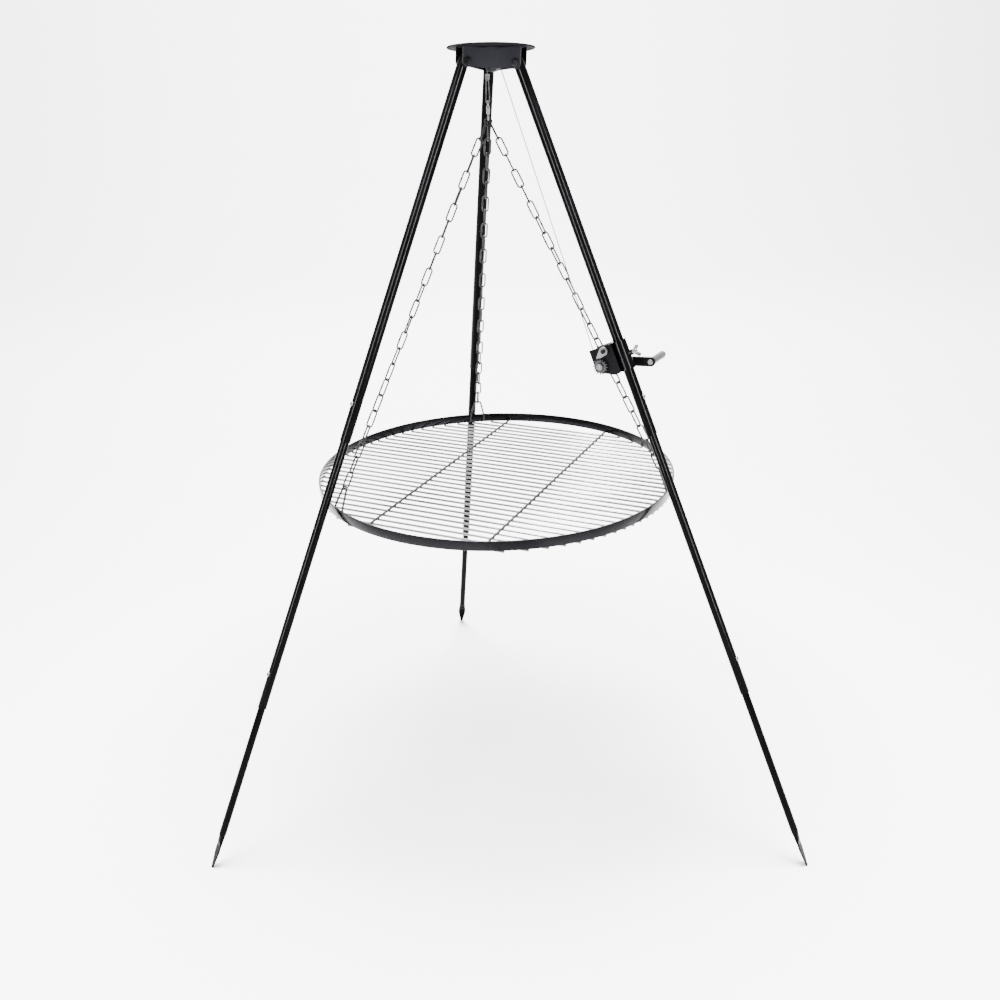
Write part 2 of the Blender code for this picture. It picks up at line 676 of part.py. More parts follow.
def make_pawl(frame):
    """Drop-shaped pawl: its tail points at the ratchet's teeth, just clear of them."""
    pivot = Vector(PAWL_PIVOT)
    centre = Vector(DRUM_CENTRE)
    tip = centre + Vector((-0.0015, 0.0173)).normalized() * (RATCHET_TIP + 0.0012)
    tail = tip - pivot
    heading = math.degrees(math.atan2(tail.y, tail.x))
    shape = arc((0, 0), PAWL_HEAD, heading + 75, heading + 285, 14)
    across = Vector((-tail.y, tail.x)).normalized()
    shape += [(tail * 0.60 - across * 0.0048)[:], (tail - across * 0.0008)[:],
              (tail + across * 0.0006)[:], (tail * 0.62 + across * 0.0055)[:]]
    pawl = outline("pawl", [shape, circle((0, 0), 0.0033, 12)], WHEEL_FAR - WHEEL_NEAR)
    place(pawl, frame, ZINC, (pivot.x, -(WHEEL_FAR + WHEEL_NEAR) / 2, pivot.y), FACING_Y)
    start = PLATE_FACE - SHEET - 0.001
    head = WHEEL_FAR + GAP
    profile = [(0, -start), (0.0030, -start), (0.0030, -head), (0.0048, -head),
               (0.0048, -head - 0.0024), (0.0036, -head - 0.0034), (0, -head - 0.0034)]
    place(turned("pawl_bolt", profile, 16), frame, DARK_FIXING, (pivot.x, 0, pivot.y), ALONG_Y)


def make_crank(frame):
    """Flat crank arm on the far end of the axle, and the grip that turns on its bolt."""
    hub = Vector(DRUM_CENTRE)
    end = Vector(CRANK_END)
    run = end - hub
    heading = math.degrees(math.atan2(run.y, run.x))
    shape = arc((0, 0), CRANK_HALF_WIDTH, heading + 90, heading + 270, 8)
    shape += arc(run, CRANK_HALF_WIDTH, heading - 90, heading + 90, 8)
    holes = [circle((0, 0), AXLE_RADIUS + GAP, 16), circle(run, 0.0033, 12)]
    arm = outline("crank_arm", [shape] + holes, CRANK_FAR - CRANK_NEAR)
    place(arm, frame, BLACK, (hub.x, (CRANK_FAR + CRANK_NEAR) / 2, hub.y), FACING_Y)
    near = CRANK_FAR + GAP
    far = near + GRIP_LENGTH
    profile = [(0, far), (GRIP_RADIUS * 0.55, far - 0.0008), (GRIP_RADIUS * 0.9, far - 0.0035),
               (GRIP_RADIUS, far - 0.0080), (GRIP_RADIUS, near + 0.002),
               (GRIP_RADIUS - 0.0015, near), (0.0033, near), (0.0033, far - 0.010),
               (0, far - 0.010)]
    place(turned("crank_grip", profile, 20), frame, GRIP_PLASTIC, (end.x, 0, end.y), ALONG_Y)
    profile = [(0, far - 0.0105), (0.0030, far - 0.0105), (0.0030, CRANK_NEAR - GAP),
               (0.0055, CRANK_NEAR - GAP), (0.0055, CRANK_NEAR - 0.0030), (0, CRANK_NEAR - 0.0030)]
    place(turned("grip_bolt", profile, 16), frame, ZINC, (end.x, 0, end.y), ALONG_Y)


def make_winch(leg_frame):
    frame = frame_empty("winch_frame_origin", leg_frame, winch_matrix())
    make_sleeve(frame)
    make_wing_screw(frame)
    make_winch_frame(frame)
    make_drum(frame)
    make_pawl(frame)
    make_crank(frame)
    return frame


# ---------------------------------------------------------------- rope
def make_hoist_rope(pulley_frame, winch_frame):
    """Taut run from the drum to the pulley, and the stretch that lies in the groove."""
    to_pulley = pulley_frame.matrix_world.inverted() @ winch_frame.matrix_world
    drum = to_pulley @ Vector((DRUM_CENTRE[0], 0, DRUM_CENTRE[1]))
    run = Vector((drum.x, drum.z))
    lift_off = COIL_RADIUS + GAP + ROPE_RADIUS
    # The rope leaves the drum on its inner side and meets the pulley on its outer side.
    heading = math.atan2(run.y, run.x)
    cross = math.acos((lift_off + ROPE_WRAP) / run.length)
    on_pulley = heading + cross
    touch = Vector((math.cos(on_pulley), math.sin(on_pulley))) * ROPE_WRAP
    leave = run - Vector((math.cos(on_pulley), math.sin(on_pulley))) * lift_off
    direction = (leave - touch).normalized()
    start = touch + direction * 0.0015
    points = [(start.x, 0, start.y), (leave.x, 0, leave.y)]
    place(wire("hoist_rope", points, ROPE_RADIUS), pulley_frame, ZINC)
    steps = 12
    last = math.pi + plumb_angle(pulley_frame)
    wrap = []
    for i in range(steps + 1):
        angle = on_pulley + (last - on_pulley) * i / steps
        wrap.append((ROPE_WRAP * math.cos(angle), 0, ROPE_WRAP * math.sin(angle)))
    place(wire("pulley_rope", wrap, ROPE_RADIUS), pulley_frame, ZINC)
    return pulley_frame.matrix_world @ Vector(wrap[-1])


def plumb_angle(frame):
    """How far the frame's own down direction is turned from plumb, in its XZ plane."""
    down = frame.matrix_world.to_3x3().inverted() @ Vector((0, 0, -1))
    return math.atan2(down.x, -down.z)


# ---------------------------------------------------------------- hanging string
def loop_points(half_width, top, bottom, corner_steps=4):
    """A long round-ended loop in the XZ plane."""
    points = arc((0, top - half_width), half_width, 0, 180, corner_steps)
    points += arc((0, bottom + half_width), half_width, 180, 360, corner_steps)
    return [(x, 0, z) for x, z in points]


def make_string(anchor, hang, head_height):
    """Rope end, its ferrule and eye, the hook and the ring, plumb under the pulley."""
    top = anchor.z - head_height
    profile = [(0, top - GAP), (ROPE_RADIUS, top - GAP), (ROPE_RADIUS, FERRULE_TOP + GAP),
               (0, FERRULE_TOP + GAP)]
    place(turned("load_rope", profile, 10), hang, ZINC)
    sleeve = outline("rope_ferrule", [oval(0.0022, 0.0022)], FERRULE_TOP - FERRULE_BOTTOM)
    place(sleeve, hang, ZINC, (0, 0, (FERRULE_TOP + FERRULE_BOTTOM) / 2))
    eye_top = FERRULE_BOTTOM - GAP - ROPE_RADIUS
    eye = [(0.0026, 0, eye_top), (-0.0026, 0, eye_top)]
    eye += [(x, 0, z) for x, z in arc((0, EYE_BOTTOM + 0.0036), 0.0036, 180, 360, 6)]
    place(wire("rope_eye", eye, ROPE_RADIUS, closed=True), hang, ZINC)
    hook_top = EYE_BOTTOM + 2 * HOOK_WIRE + 0.0006
    hook = as_mesh(wire("swivel_hook", loop_points(0.0042, hook_top, HOOK_BOTTOM), HOOK_WIRE,
                        closed=True))
    place(hook, hang, ZINC, rotation=(0, 0, RAD(90)))
    barrel = cylinder("swivel_barrel", BARREL_RADIUS, (0, 0, BARREL_TOP), (0, 0, BARREL_BOTTOM))
    barrel.parent = hook
    boolean(hook, barrel, "UNION")
    ring_z = ring_height()
    ring = [(x, 0, z) for x, z in circle((0, ring_z), RING_RADIUS, 24)]
    place(wire("gather_ring", ring, RING_WIRE, closed=True), hang, ZINC)


def ring_height():
    """Middle of the gather ring: its top hangs in the bottom of the hook."""
    return HOOK_BOTTOM + HOOK_WIRE + RING_WIRE + GAP - RING_RADIUS


def chain_ends(leg, rim_drop):
    """Where a chain's first and last link bear, in the hanging frame."""
    seat = RAD(RING_SEAT[leg])
    top = Vector((RING_RADIUS * math.sin(seat), 0, ring_height() - RING_RADIUS * math.cos(seat)))
    azimuth = RAD(HANGER_AZIMUTH[leg])
    radius = hanger_foot_radius() - HANGER_LEAN
    low = Vector((radius * math.cos(azimuth), radius * math.sin(azimuth),
                  -rim_drop + HANGER_RISE))
    return top, low


def hanger_foot_radius():
    return GRATE_RADIUS - RIM_THICKNESS - GAP - HANGER_RADIUS


def link_wire(name, length, half_width, radius, fineness):
    """One closed link along Z with its middle at the origin; length is between wire middles."""
    path = loop_points(half_width, length / 2, -length / 2)
    obj = wire(name, path, radius, closed=True)
    obj.data.bevel_resolution = fineness
    return as_mesh(obj)


def along_chain(centre, axis, normal, quarter):
    """Placement of a link: Z along the chain, Y across its flat, turned by quarter turns."""
    across = normal.cross(axis).normalized()
    facing = axis.cross(across).normalized()
    turn = Matrix((across, facing, axis)).transposed().to_4x4()
    return Matrix.Translation(centre) @ turn @ Matrix.Rotation(RAD(90 * quarter), 4, "Z")


def make_chain(leg, hang, rim_drop):
    """A long top link in the ring, then a chain of crossed links down to the hanger."""
    top, low = chain_ends(leg, rim_drop)
    axis = (low - top).normalized()
    seat = RAD(RING_SEAT[leg])
    first_normal = Vector((math.cos(seat), 0, math.sin(seat)))
    azimuth = RAD(HANGER_AZIMUTH[leg])
    last_normal = Vector((-math.sin(azimuth), math.cos(azimuth), 0))
    if first_normal.dot(last_normal) < 0:
        last_normal = -last_normal
    start = top - axis * (TOP_LINK_WIRE + RING_WIRE + 2 * GAP)
    long_link = link_wire("top_link_" + leg, TOP_LINK_LENGTH, TOP_LINK_HALF_WIDTH, TOP_LINK_WIRE, 1)
    long_link.data.transform(along_chain(start + axis * (TOP_LINK_LENGTH / 2), axis,
                                         first_normal, 0))
    place(long_link, hang, ZINC)
    first_end = start + axis * (TOP_LINK_LENGTH - TOP_LINK_WIRE - CHAIN_WIRE - GAP)
    last_end = low + axis * (CHAIN_WIRE + HANGER_RADIUS + 2 * GAP)
    bite = CHAIN_WIRE * 1.5
    pitch = ((last_end - first_end).length - bite) / CHAIN_LINKS
    link = link_wire("link", pitch + bite, CHAIN_HALF_WIDTH, CHAIN_WIRE, 0)
    halves = ([], [])
    for k in range(CHAIN_LINKS):
        normal = first_normal.lerp(last_normal, k / (CHAIN_LINKS - 1))
        centre = first_end + axis * (pitch * (k + 0.5) + bite / 2)
        piece = bpy.data.objects.new("piece", link.data.copy())
        piece.matrix_basis = along_chain(centre, axis, normal, (k + 1) % 2)
        halves[k % 2].append(piece)
    bpy.data.objects.remove(link, do_unlink=True)
    chain = place(join_meshes("chain_" + leg, halves[0]), hang, ZINC)
    others = join_meshes("chain_links_" + leg, halves[1])
    others.parent = hang
    boolean(chain, others, "UNION")


def make_hanger(leg, hang, rim_drop):
    """Bent wire welded to the inside of the rim, that the chain's last link hangs in."""
    azimuth = HANGER_AZIMUTH[leg]
    foot = hanger_foot_radius()
    weld_top = -rim_drop - 0.001
    half = HANGER_HALF_WIDTH
    # The wire keeps inside the rim's curve, so its feet stand a little further in.
    sag = foot - math.sqrt(foot ** 2 - half ** 2)
    apex = Vector((foot - HANGER_LEAN, -rim_drop + HANGER_RISE))
    base = Vector((foot - sag, weld_top))
    slope = (apex - base).normalized()
    rise = (apex - base).length
    bend = arc((0, rise - HANGER_BEND), HANGER_BEND, 20, 160, 6)
    path = [(half, 0)] + bend + [(-half, 0)]
    points = [(base.x + slope.x * v, u, base.y + slope.y * v) for u, v in path]
    low = -rim_drop - RIM_HEIGHT + 0.004
    points = [(base.x, half, low)] + points + [(base.x, -half, low)]
    place(wire("hanger_" + leg, points, HANGER_RADIUS), hang, ZINC,
          rotation=(0, 0, RAD(azimuth)))


# ---------------------------------------------------------------- grate
def make_rim(hang, rim_drop):
    low = -rim_drop - RIM_HEIGHT
    inner = GRATE_RADIUS - RIM_THICKNESS
    place(bush("grate_rim", GRATE_RADIUS, inner, low, -rim_drop, 96), hang, RIM_STEEL)


def make_grid(hang, rim_drop):
    """Parallel rods under the rim and two cross bars welded over them."""
    rod_height = -rim_drop - RIM_HEIGHT - GAP - ROD_RADIUS
    reach = GRATE_RADIUS - 0.0015
    rods = []
    for i in range(ROD_COUNT):
        y = (i - (ROD_COUNT - 1) / 2) * ROD_PITCH
        half = math.sqrt(reach ** 2 - y ** 2)
        rods.append(cylinder("rod", ROD_RADIUS, (-half, y, rod_height), (half, y, rod_height), 8))
    grid = place(join_meshes("grate_rods", rods), hang, GRATE_STEEL,
                 rotation=(0, 0, RAD(ROD_AZIMUTH)))
    bar_height = rod_height + 2 * ROD_RADIUS - 0.0007
    inside = GRATE_RADIUS - RIM_THICKNESS - GAP * 3
    bars = []
    for x in (-CROSS_BAR_OFFSET, CROSS_BAR_OFFSET):
        half = math.sqrt((inside - 0.001) ** 2 - (abs(x) + ROD_RADIUS) ** 2)
        bars.append(cylinder("bar", ROD_RADIUS, (x, -half, bar_height), (x, half, bar_height), 8))
    bars = join_meshes("grate_bars", bars)
    bars.parent = grid
    boolean(grid, bars, "UNION")


# ---------------------------------------------------------------- assembly
def build():
    head = frame_empty("head_frame", None, head_matrix())
    legs = {leg: make_leg(leg, head) for leg in LEG_NAMES}
    disc = make_disc(head)
    for name, azimuth, neighbours in (("head_bracket_front", 270.0, ("left", "right")),
                                      ("head_bracket_right", 30.0, ("right", "back")),
                                      ("head_bracket_left", 150.0, ("back", "left"))):
        make_bracket(head, disc, name, azimuth, neighbours, legs)
    pulley = make_pulley(head, disc)
    winch = make_winch(legs["right"])
    anchor = make_hoist_rope(pulley, winch)
    height = head.matrix_world.translation.z
    hang = frame_empty("hang_frame", None, Matrix.Translation((anchor.x, anchor.y, height)))
    rim_drop = height - RIM_TOP
    make_string(anchor, hang, height)
    for leg in LEG_NAMES:
        make_chain(leg, hang, rim_drop)
        make_hanger(leg, hang, rim_drop)
    make_rim(hang, rim_drop)
    make_grid(hang, rim_drop)


clear_scene()
PARTS = new_collection("campfire_tripod_grate")
CUTTERS = new_collection("cutters")
build()
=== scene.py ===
"""Looks of the campfire tripod with a winch and a hanging grate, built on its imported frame.

Places come from the frame: leg frames from the fold joints and the feet, ropes and chains from
the ends of the solids that they stand for.  What the CAD keeps coarse (tubes, chains, ropes,
rods, rim, disc, grip) is made again here in fine detail on the same lines, and the folded and
cut pieces get their rounded edges from a bevel on a copy of the CAD mesh.
"""

import json
import math
import random

import bmesh
import bpy
from mathutils import Matrix, Vector

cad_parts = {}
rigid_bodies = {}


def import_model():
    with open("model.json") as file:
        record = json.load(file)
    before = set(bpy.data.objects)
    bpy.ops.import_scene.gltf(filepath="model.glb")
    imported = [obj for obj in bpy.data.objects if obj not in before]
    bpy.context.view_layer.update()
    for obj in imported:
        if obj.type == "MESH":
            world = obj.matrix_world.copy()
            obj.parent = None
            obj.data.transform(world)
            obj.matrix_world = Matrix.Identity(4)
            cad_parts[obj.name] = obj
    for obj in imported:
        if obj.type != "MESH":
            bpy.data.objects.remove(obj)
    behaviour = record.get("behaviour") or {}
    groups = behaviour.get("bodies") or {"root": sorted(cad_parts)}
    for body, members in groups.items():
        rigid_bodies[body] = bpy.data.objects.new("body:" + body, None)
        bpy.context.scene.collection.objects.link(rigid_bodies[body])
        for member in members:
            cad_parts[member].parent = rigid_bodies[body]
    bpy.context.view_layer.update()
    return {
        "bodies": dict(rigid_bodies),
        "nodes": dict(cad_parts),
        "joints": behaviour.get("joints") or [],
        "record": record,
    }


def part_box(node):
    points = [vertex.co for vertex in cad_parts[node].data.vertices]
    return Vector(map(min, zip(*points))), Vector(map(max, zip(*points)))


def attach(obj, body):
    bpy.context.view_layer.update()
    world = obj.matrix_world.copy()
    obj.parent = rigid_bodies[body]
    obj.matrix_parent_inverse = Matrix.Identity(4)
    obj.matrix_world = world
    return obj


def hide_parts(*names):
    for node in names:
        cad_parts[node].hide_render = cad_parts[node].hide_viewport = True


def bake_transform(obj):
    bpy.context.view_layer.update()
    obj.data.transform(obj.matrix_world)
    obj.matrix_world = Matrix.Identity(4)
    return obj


# ---- camera, light, floor
CAMERA_AT = (-0.0813, -2.4508, 1.6825)
CAMERA_PITCH = 22.64  # down, degrees
CAMERA_YAW = 2.48  # to the right
CAMERA_ROLL = -1.27
CAMERA_LENS = 38.80
CAMERA_SENSOR = 36  # mm wide
CAMERA_NEAR = 0.05
WORLD_STRENGTH = 2.6

# name: (place, target, width, height, watts)
AREA_LIGHTS = {
    "overhead": ((0.0, -0.1, 3.9), (0, 0, 0), 0.9, 0.9, 1150),
    "backdrop": ((0.0, 3.0, 4.5), (0, 8.5, 2.0), 6.0, 2.0, 1600),
}
STRIP_LIGHTS = {
    "strip_right": ((1.75, -3.35, 1.6), (-0.35, -0.5, 0.8), 0.40, 4.5, 2700),
    "strip_left": ((-2.1, -2.3, 1.6), (0.45, -0.5, 0.8), 0.45, 4.5, 2000),
}
# glossy pieces that the strip lights show in
STREAKED = ("upper_tube_left", "middle_tube_left", "upper_tube_right", "middle_tube_right",
            "winch_sleeve")

FLOOR_HALF_WIDTH = 14
FLOOR_FRONT = -9.0
FLOOR_BACK = 6.0  # where it starts to sweep up
SWEEP_RADIUS = 3
BACKDROP_TOP = 12.0
PAPER = 0.93  # grey of the floor
# painted shadow: the floor's grey darkens in a soft round patch under the tripod, standing in for
# the shadow that it casts
PAINTED_SHADE_RADIUS = 1.15  # of the soft shade under the tripod
PAINTED_SHADE_STOPS = [(0.0, PAPER), (0.35, 0.74), (1.0, 0.58)]  # from its rim to its middle

# ---- sizes repeated from the CAD
LEGS = ("left", "right", "back")
GAP = 0.0003
LEG_TOP = 0.0112  # tube above the fold bolt
TUBES = {"upper": 0.0110, "middle": 0.0095, "lower": 0.0080}  # outer radii
TUBE_END = {"upper": {"left": 0.787, "right": 0.778, "back": 0.782},
            "middle": {"left": 1.405, "right": 1.376, "back": 1.391}}
TUBE_OVERLAP = 0.120
TUBE_WALL = 0.0012
SCREW_ABOVE_END = 0.081  # a section screw, above the end of its outer tube
FOOT_FLAT = 0.055
FOOT_WIDTH = 0.021
FOOT_THICKNESS = 0.0032
FOOT_TIP = 0.006
DISC_THICKNESS = 0.003

ROD_AZIMUTH = -27.0
ROD_COUNT = 31
ROD_PITCH = 0.0238
ROD_RADIUS = 0.0025
CROSS_BAR_OFFSET = 0.132
RIM_THICKNESS = 0.0040

CHAIN_LINKS = 22
CHAIN_WIRE = 0.0017
CHAIN_HALF_WIDTH = 0.0062
TOP_LINK_LENGTH = 0.0375
TOP_LINK_HALF_WIDTH = 0.0074
TOP_LINK_WIRE = 0.0017
RING_WIRE = 0.0016
RING_SEAT = {"left": -46.0, "right": 46.0, "back": 0.0}
HANGER_RADIUS = 0.0022

ROPE_RADIUS = 0.0010
COIL_RADIUS = 0.0145
DRUM_CORE = 0.0095
HOOK_WIRE = 0.0016
HOOK_LOOP = 0.0042  # radius of the middle of its eyes' wire
BARREL_HALF = 0.00785
BARREL_BELOW_EYE = 0.01265  # its middle, below the swivel's joint
BARREL_RADIUS = 0.0036
GRIP_RADIUS = 0.0078
GRIP_BORE = 0.0033

# ---- detail that only the looks have
TUBE_LIP = 0.0004  # rounding of a tube's ends
RIM_EASE = 0.0007
DISC_EDGE = 0.0012
DISC_STEPS = 128
# down the pressed foot, as (distance below the round tube, value)
PRESS_LENGTH = 0.035
PRESS_END = 0.047
PRESS_RINGS = 25
PRESS_THICK = [(0, TUBES["lower"]), (0.018, TUBES["lower"] * 0.62),
               (PRESS_LENGTH, FOOT_THICKNESS / 2), (PRESS_END, FOOT_THICKNESS / 2)]
PRESS_WIDTH = [(0, TUBES["lower"]), (0.018, TUBES["lower"] * 1.12),
               (PRESS_LENGTH, FOOT_WIDTH / 2), (PRESS_END, FOOT_WIDTH / 2)]
PRESS_SQUARE = [(0, 0.0), (0.018, 0.2), (PRESS_LENGTH, 0.6), (PRESS_END, 0.8)]
PRESS_SHOULDER = 0.02  # part of the way from the last ring to the tip

# profiles as (radius, height)
SCREW_DOME_RADIUS = 0.0049
SCREW_DOME = 0.0030
SCREW_SHANK = [(0.0050, 0), (0.0025, 0), (0.0025, -0.005), (0, -0.005)]
RECESS_SIZE = (0.0046, 0.0008, 0.0002)
RECESS_HEIGHT = 0.00295
RECESS_TURNS = (20, 110)

BRACKET_AZIMUTHS = (270.0, 30.0, 150.0)
BRACKET_BEADS = 9  # in each of its two weld runs
BRACKET_BEAD = (0.0011, 0.0012, 0.0008)
BRACKET_BEAD_PITCH = 0.0016
BRACKET_WELD_AT = (0.0372, 0.018, -0.0044)  # out, to the side, up from the disc's top

ROPE_STRANDS = 6
ROPE_LAY = 0.011  # length of one turn of a strand
STRAND_SHARE = 0.36  # a strand's radius, as a part of the rope's
CORE_SHARE = 0.55
COIL_PITCH = 2.05  # in rope radii
COIL_STEPS = 30
EYE_SHOULDER = 0.72  # width of the eye's top, as a part of its lower loop
FERRULE_RINGS = 29
FERRULE_SIDES = 28
FERRULE_PINCH = 0.07
FERRULE_EASE = (0.80, 0.95)  # its two outermost rings at each end
HOOK_GAP = 25  # half of an eye's opening at the barrel, degrees
NECK_HALF = 0.0012
GROOVES = 7  # turned round the swivel's barrel

LINK_LOOSE = 14  # how far a slack link turns on its neighbours, degrees
LINK_BEND_STEPS = 14
LINK_SIDE_STEPS = 6
LINK_WELD = 0.16  # extra radius at a link's weld
LINK_WELD_LENGTH = 0.0018
RING_STEP = 6  # degrees
RING_WELD = 0.14
RING_WELD_AT = 150
RING_WELD_LENGTH = 9
HANGER_BEND = 0.0085
HANGER_BEADS = 5
HANGER_BEAD = (0.0010, 0.0026, 0.0015)
HANGER_BEAD_PITCH = 0.0022
SEAM_AZIMUTH = 268.0  # of the rim's butt weld
SEAM_BEADS = 12
SEAM_BEAD = (0.0005, 0.0022, 0.0012)
ROD_BEAD = (0.0030, 0.0026, 0.0012)
CROSSING_BEAD = (0.0031, 0.0031, 0.0011)
BAR_BEAD = (0.0030, 0.0024, 0.0024)
GRIP_DOME = 0.0070
GRIP_WALL = 0.010  # closed end above its bore

TUBE_SIDES = 64
WIRE_SIDES = 12
RIM_STEPS = 240

# ---- finishes
# pieces that are a bevelled copy of their CAD mesh, with the width of the bevel
BEVELLED = {
    "panel": {"head_bracket_front": 0.0009},
    "tube": {"winch_sleeve": 0.0005},
    "sheet": {"head_bracket_right": 0.0009, "head_bracket_left": 0.0009,
              "pulley_bracket": 0.0005, "winch_frame": 0.0008, "crank_arm": 0.0006,
              "crank_spacer": 0.0003},
    "fixing": {**{"fold_bolt_" + leg: 0.0004 for leg in LEGS},
               **{"fold_nut_" + leg: 0.0005 for leg in LEGS}, "pawl_bolt": 0.0003},
    "steel": {"ratchet_wheel": 0.0003},
    "zinc": {"pawl": 0.0005, "axle_nut": 0.0005, "winch_drum": 0.0004,
             "winch_axle": 0.0005, "wing_screw": 0.0004, "pulley_axle": 0.0003,
             "grip_bolt": 0.0003},
    "pulley": {"pulley_wheel": 0.0003},
}
BEVEL_SEGMENTS = 3
BEVEL_ANGLE = 38

RAD = math.radians


# ---- materials
def node_material(name, colour, metallic, roughness, specular=0.5):
    made = bpy.data.materials.new(name)
    made.use_nodes = True
    values = {"Base Color": (*colour, 1), "Metallic": metallic, "Roughness": roughness,
              "Specular IOR Level": specular}
    for key, value in values.items():
        shader_of(made).inputs[key].default_value = value
    return made


def add_node(material, kind, **settings):
    node = material.node_tree.nodes.new(kind)
    for key, value in settings.items():
        setattr(node, key, value)
    return node


def link(material, source, target):
    material.node_tree.links.new(source, target)


def shader_of(material):
    return material.node_tree.nodes["Principled BSDF"]


def object_noise(material, scale, detail):
    """Noise in object space, so that it keeps its size on every piece."""
    where = add_node(material, "ShaderNodeTexCoord")
    texture = add_node(material, "ShaderNodeTexNoise")
    texture.inputs["Scale"].default_value = scale
    texture.inputs["Detail"].default_value = detail
    link(material, where.outputs["Object"], texture.inputs["Vector"])
    return texture.outputs["Fac"]


def ramp(material, fac, stops):
    """Colour ramp from (position, colour) stops; a colour may be one grey number."""
    node = add_node(material, "ShaderNodeValToRGB")
    elements = node.color_ramp.elements
    while len(elements) < len(stops):
        elements.new(0.5)
    for element, (position, colour) in zip(elements, stops):
        element.position = position
        grey = isinstance(colour, (int, float))
        element.color = (colour, colour, colour, 1) if grey else (*colour, 1)
    link(material, fac, node.inputs["Fac"])
    return node.outputs["Color"]


def bump(material, height, strength, distance):
    node = add_node(material, "ShaderNodeBump")
    node.inputs["Strength"].default_value = strength
    node.inputs["Distance"].default_value = distance
    link(material, height, node.inputs["Height"])
    link(material, node.outputs["Normal"], shader_of(material).inputs["Normal"])


def blotched(material, scale, detail, colours, roughness, fine, strength):
    """Broad blotches in colour and roughness, and a fine uneven surface; fine is a noise."""
    shader = shader_of(material)
    broad = object_noise(material, scale, detail)
    link(material, ramp(material, broad, colours), shader.inputs["Base Color"])
    link(material, ramp(material, broad, roughness), shader.inputs["Roughness"])
    bump(material, object_noise(material, *fine), strength, 0.0002)
    return material


def painted(name, dark, light, rough_low, rough_high, specular):
    """Powder-coated steel: faint orange peel, and patches of duller and lighter coat."""
    made = node_material(name, dark, 0.0, rough_low, specular)
    return blotched(made, 14, 5, [(0.35, dark), (0.70, light)],
                    [(0.3, rough_low), (0.75, rough_high)], (900, 2), 0.05)


def bright_metal(name, dark, light, rough_low, rough_high, scale=60, metallic=1.0,
                 specular=0.5):
    """Plated or polished metal with blotches and fine wear; dull plating is less metallic."""
    made = node_material(name, light, metallic, rough_low, specular)
    return blotched(made, scale, 6, [(0.30, dark), (0.62, light)],
                    [(0.35, rough_high), (0.65, rough_low)], (scale * 12, 3), 0.08)


def make_materials():
    return {
        "tube": painted("tube_black", (0.0006, 0.0006, 0.0008), (0.0014, 0.0014, 0.0018),
                        0.16, 0.24, 0.015),
        # painted light: the same black coat as the side brackets' sheet, made lighter for the front
        # panel alone to stand in for the light that its face catches
        "panel": painted("black_coat_painted_lighter", (0.0080, 0.0080, 0.0110), (0.0125, 0.0125, 0.0165),
                         0.28, 0.38, 0.10),
        "sheet": painted("sheet_black", (0.0014, 0.0014, 0.0018), (0.0034, 0.0034, 0.0042),
                         0.28, 0.38, 0.06),
        "plate": painted("plate_black", (0.0040, 0.0040, 0.0048), (0.0080, 0.0080, 0.0094),
                         0.55, 0.65, 0.004),
        "fixing": bright_metal("dark_fixing", (0.006, 0.006, 0.007), (0.020, 0.020, 0.022),
                               0.30, 0.45),
        "zinc": bright_metal("zinc_plate", (0.08, 0.08, 0.084), (0.20, 0.20, 0.204), 0.24, 0.42),
        "steel": bright_metal("wheel_steel", (0.022, 0.022, 0.024), (0.070, 0.070, 0.072),
                              0.24, 0.42, 160),
        "pulley": bright_metal("pulley_steel", (0.025, 0.025, 0.028), (0.09, 0.09, 0.095),
                               0.28, 0.44),
        "chain": bright_metal("chain_zinc", (0.012, 0.012, 0.013), (0.030, 0.030, 0.031),
                              0.45, 0.60, 40, 0.15, 0.05),
        "rope": bright_metal("rope_steel", (0.05, 0.05, 0.053), (0.13, 0.13, 0.133),
                             0.28, 0.42, 200),
        "rods": bright_metal("rod_steel", (0.045, 0.045, 0.046), (0.16, 0.16, 0.163),
                             0.20, 0.32, 5, 0.65, 0.3),
        "bars": bright_metal("cross_bar_steel", (0.012, 0.012, 0.013), (0.024, 0.024, 0.025),
                             0.45, 0.60, 30, 0.15, 0.05),
        # painted reflection: the rim's broad dark and light blotches in colour stand in for the
        # surroundings mirrored round the hoop
        "rim": bright_metal("rim_steel_painted_reflections", (0.0016, 0.0016, 0.0020),
                            (0.0095, 0.0095, 0.0105), 0.14, 0.26, 5),
        "weld": bright_metal("weld_bead", (0.02, 0.02, 0.021), (0.08, 0.075, 0.07),
                             0.30, 0.50, 240),
        "grip": painted("grip_grey", (0.014, 0.014, 0.015), (0.034, 0.034, 0.035),
                        0.34, 0.46, 0.15),
    }


# ---- mesh helpers
def add_object(name, data):
    obj = bpy.data.objects.new(name, data)
    bpy.context.scene.collection.objects.link(obj)
    return obj


class Maker:
    """Puts finished pieces into the scene, on their bodies and with their materials."""

    def __init__(self, frame, materials):
        self.frame = frame
        self.materials = materials
        self.body_of = {node: body for body, nodes in frame["record"]["behaviour"]["bodies"].items()
                        for node in nodes}
        self.joints = {joint["name"]: joint for joint in frame["joints"]}
        self.mounts = {mount["name"]: mount for mount in frame["record"]["mounts"]}

    def joint_line(self, name):
        joint = self.joints[name]
        return Vector(joint["pos_m"]), Vector(joint["axis"]).normalized()

    def add(self, name, mesh, finish, body, nodes=(), sharp=35):
        mesh.shade_smooth()
        mesh.set_sharp_from_angle(angle=RAD(sharp))
        mesh.materials.clear()
        mesh.materials.append(self.materials[finish])
        obj = add_object(name, mesh)
        if nodes:
            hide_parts(*nodes)
        if body:
            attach(obj, body)
        return obj

    def stand_in(self, node, mesh, finish, sharp):
        """A fine piece in place of one CAD node, on the same body."""
        return self.add(node + "_fine", mesh, finish, self.body_of[node], (node,), sharp)


def mesh_from(name, verts, faces):
    mesh = bpy.data.meshes.new(name)
    mesh.from_pydata([tuple(v) for v in verts], [], faces)
    return mesh


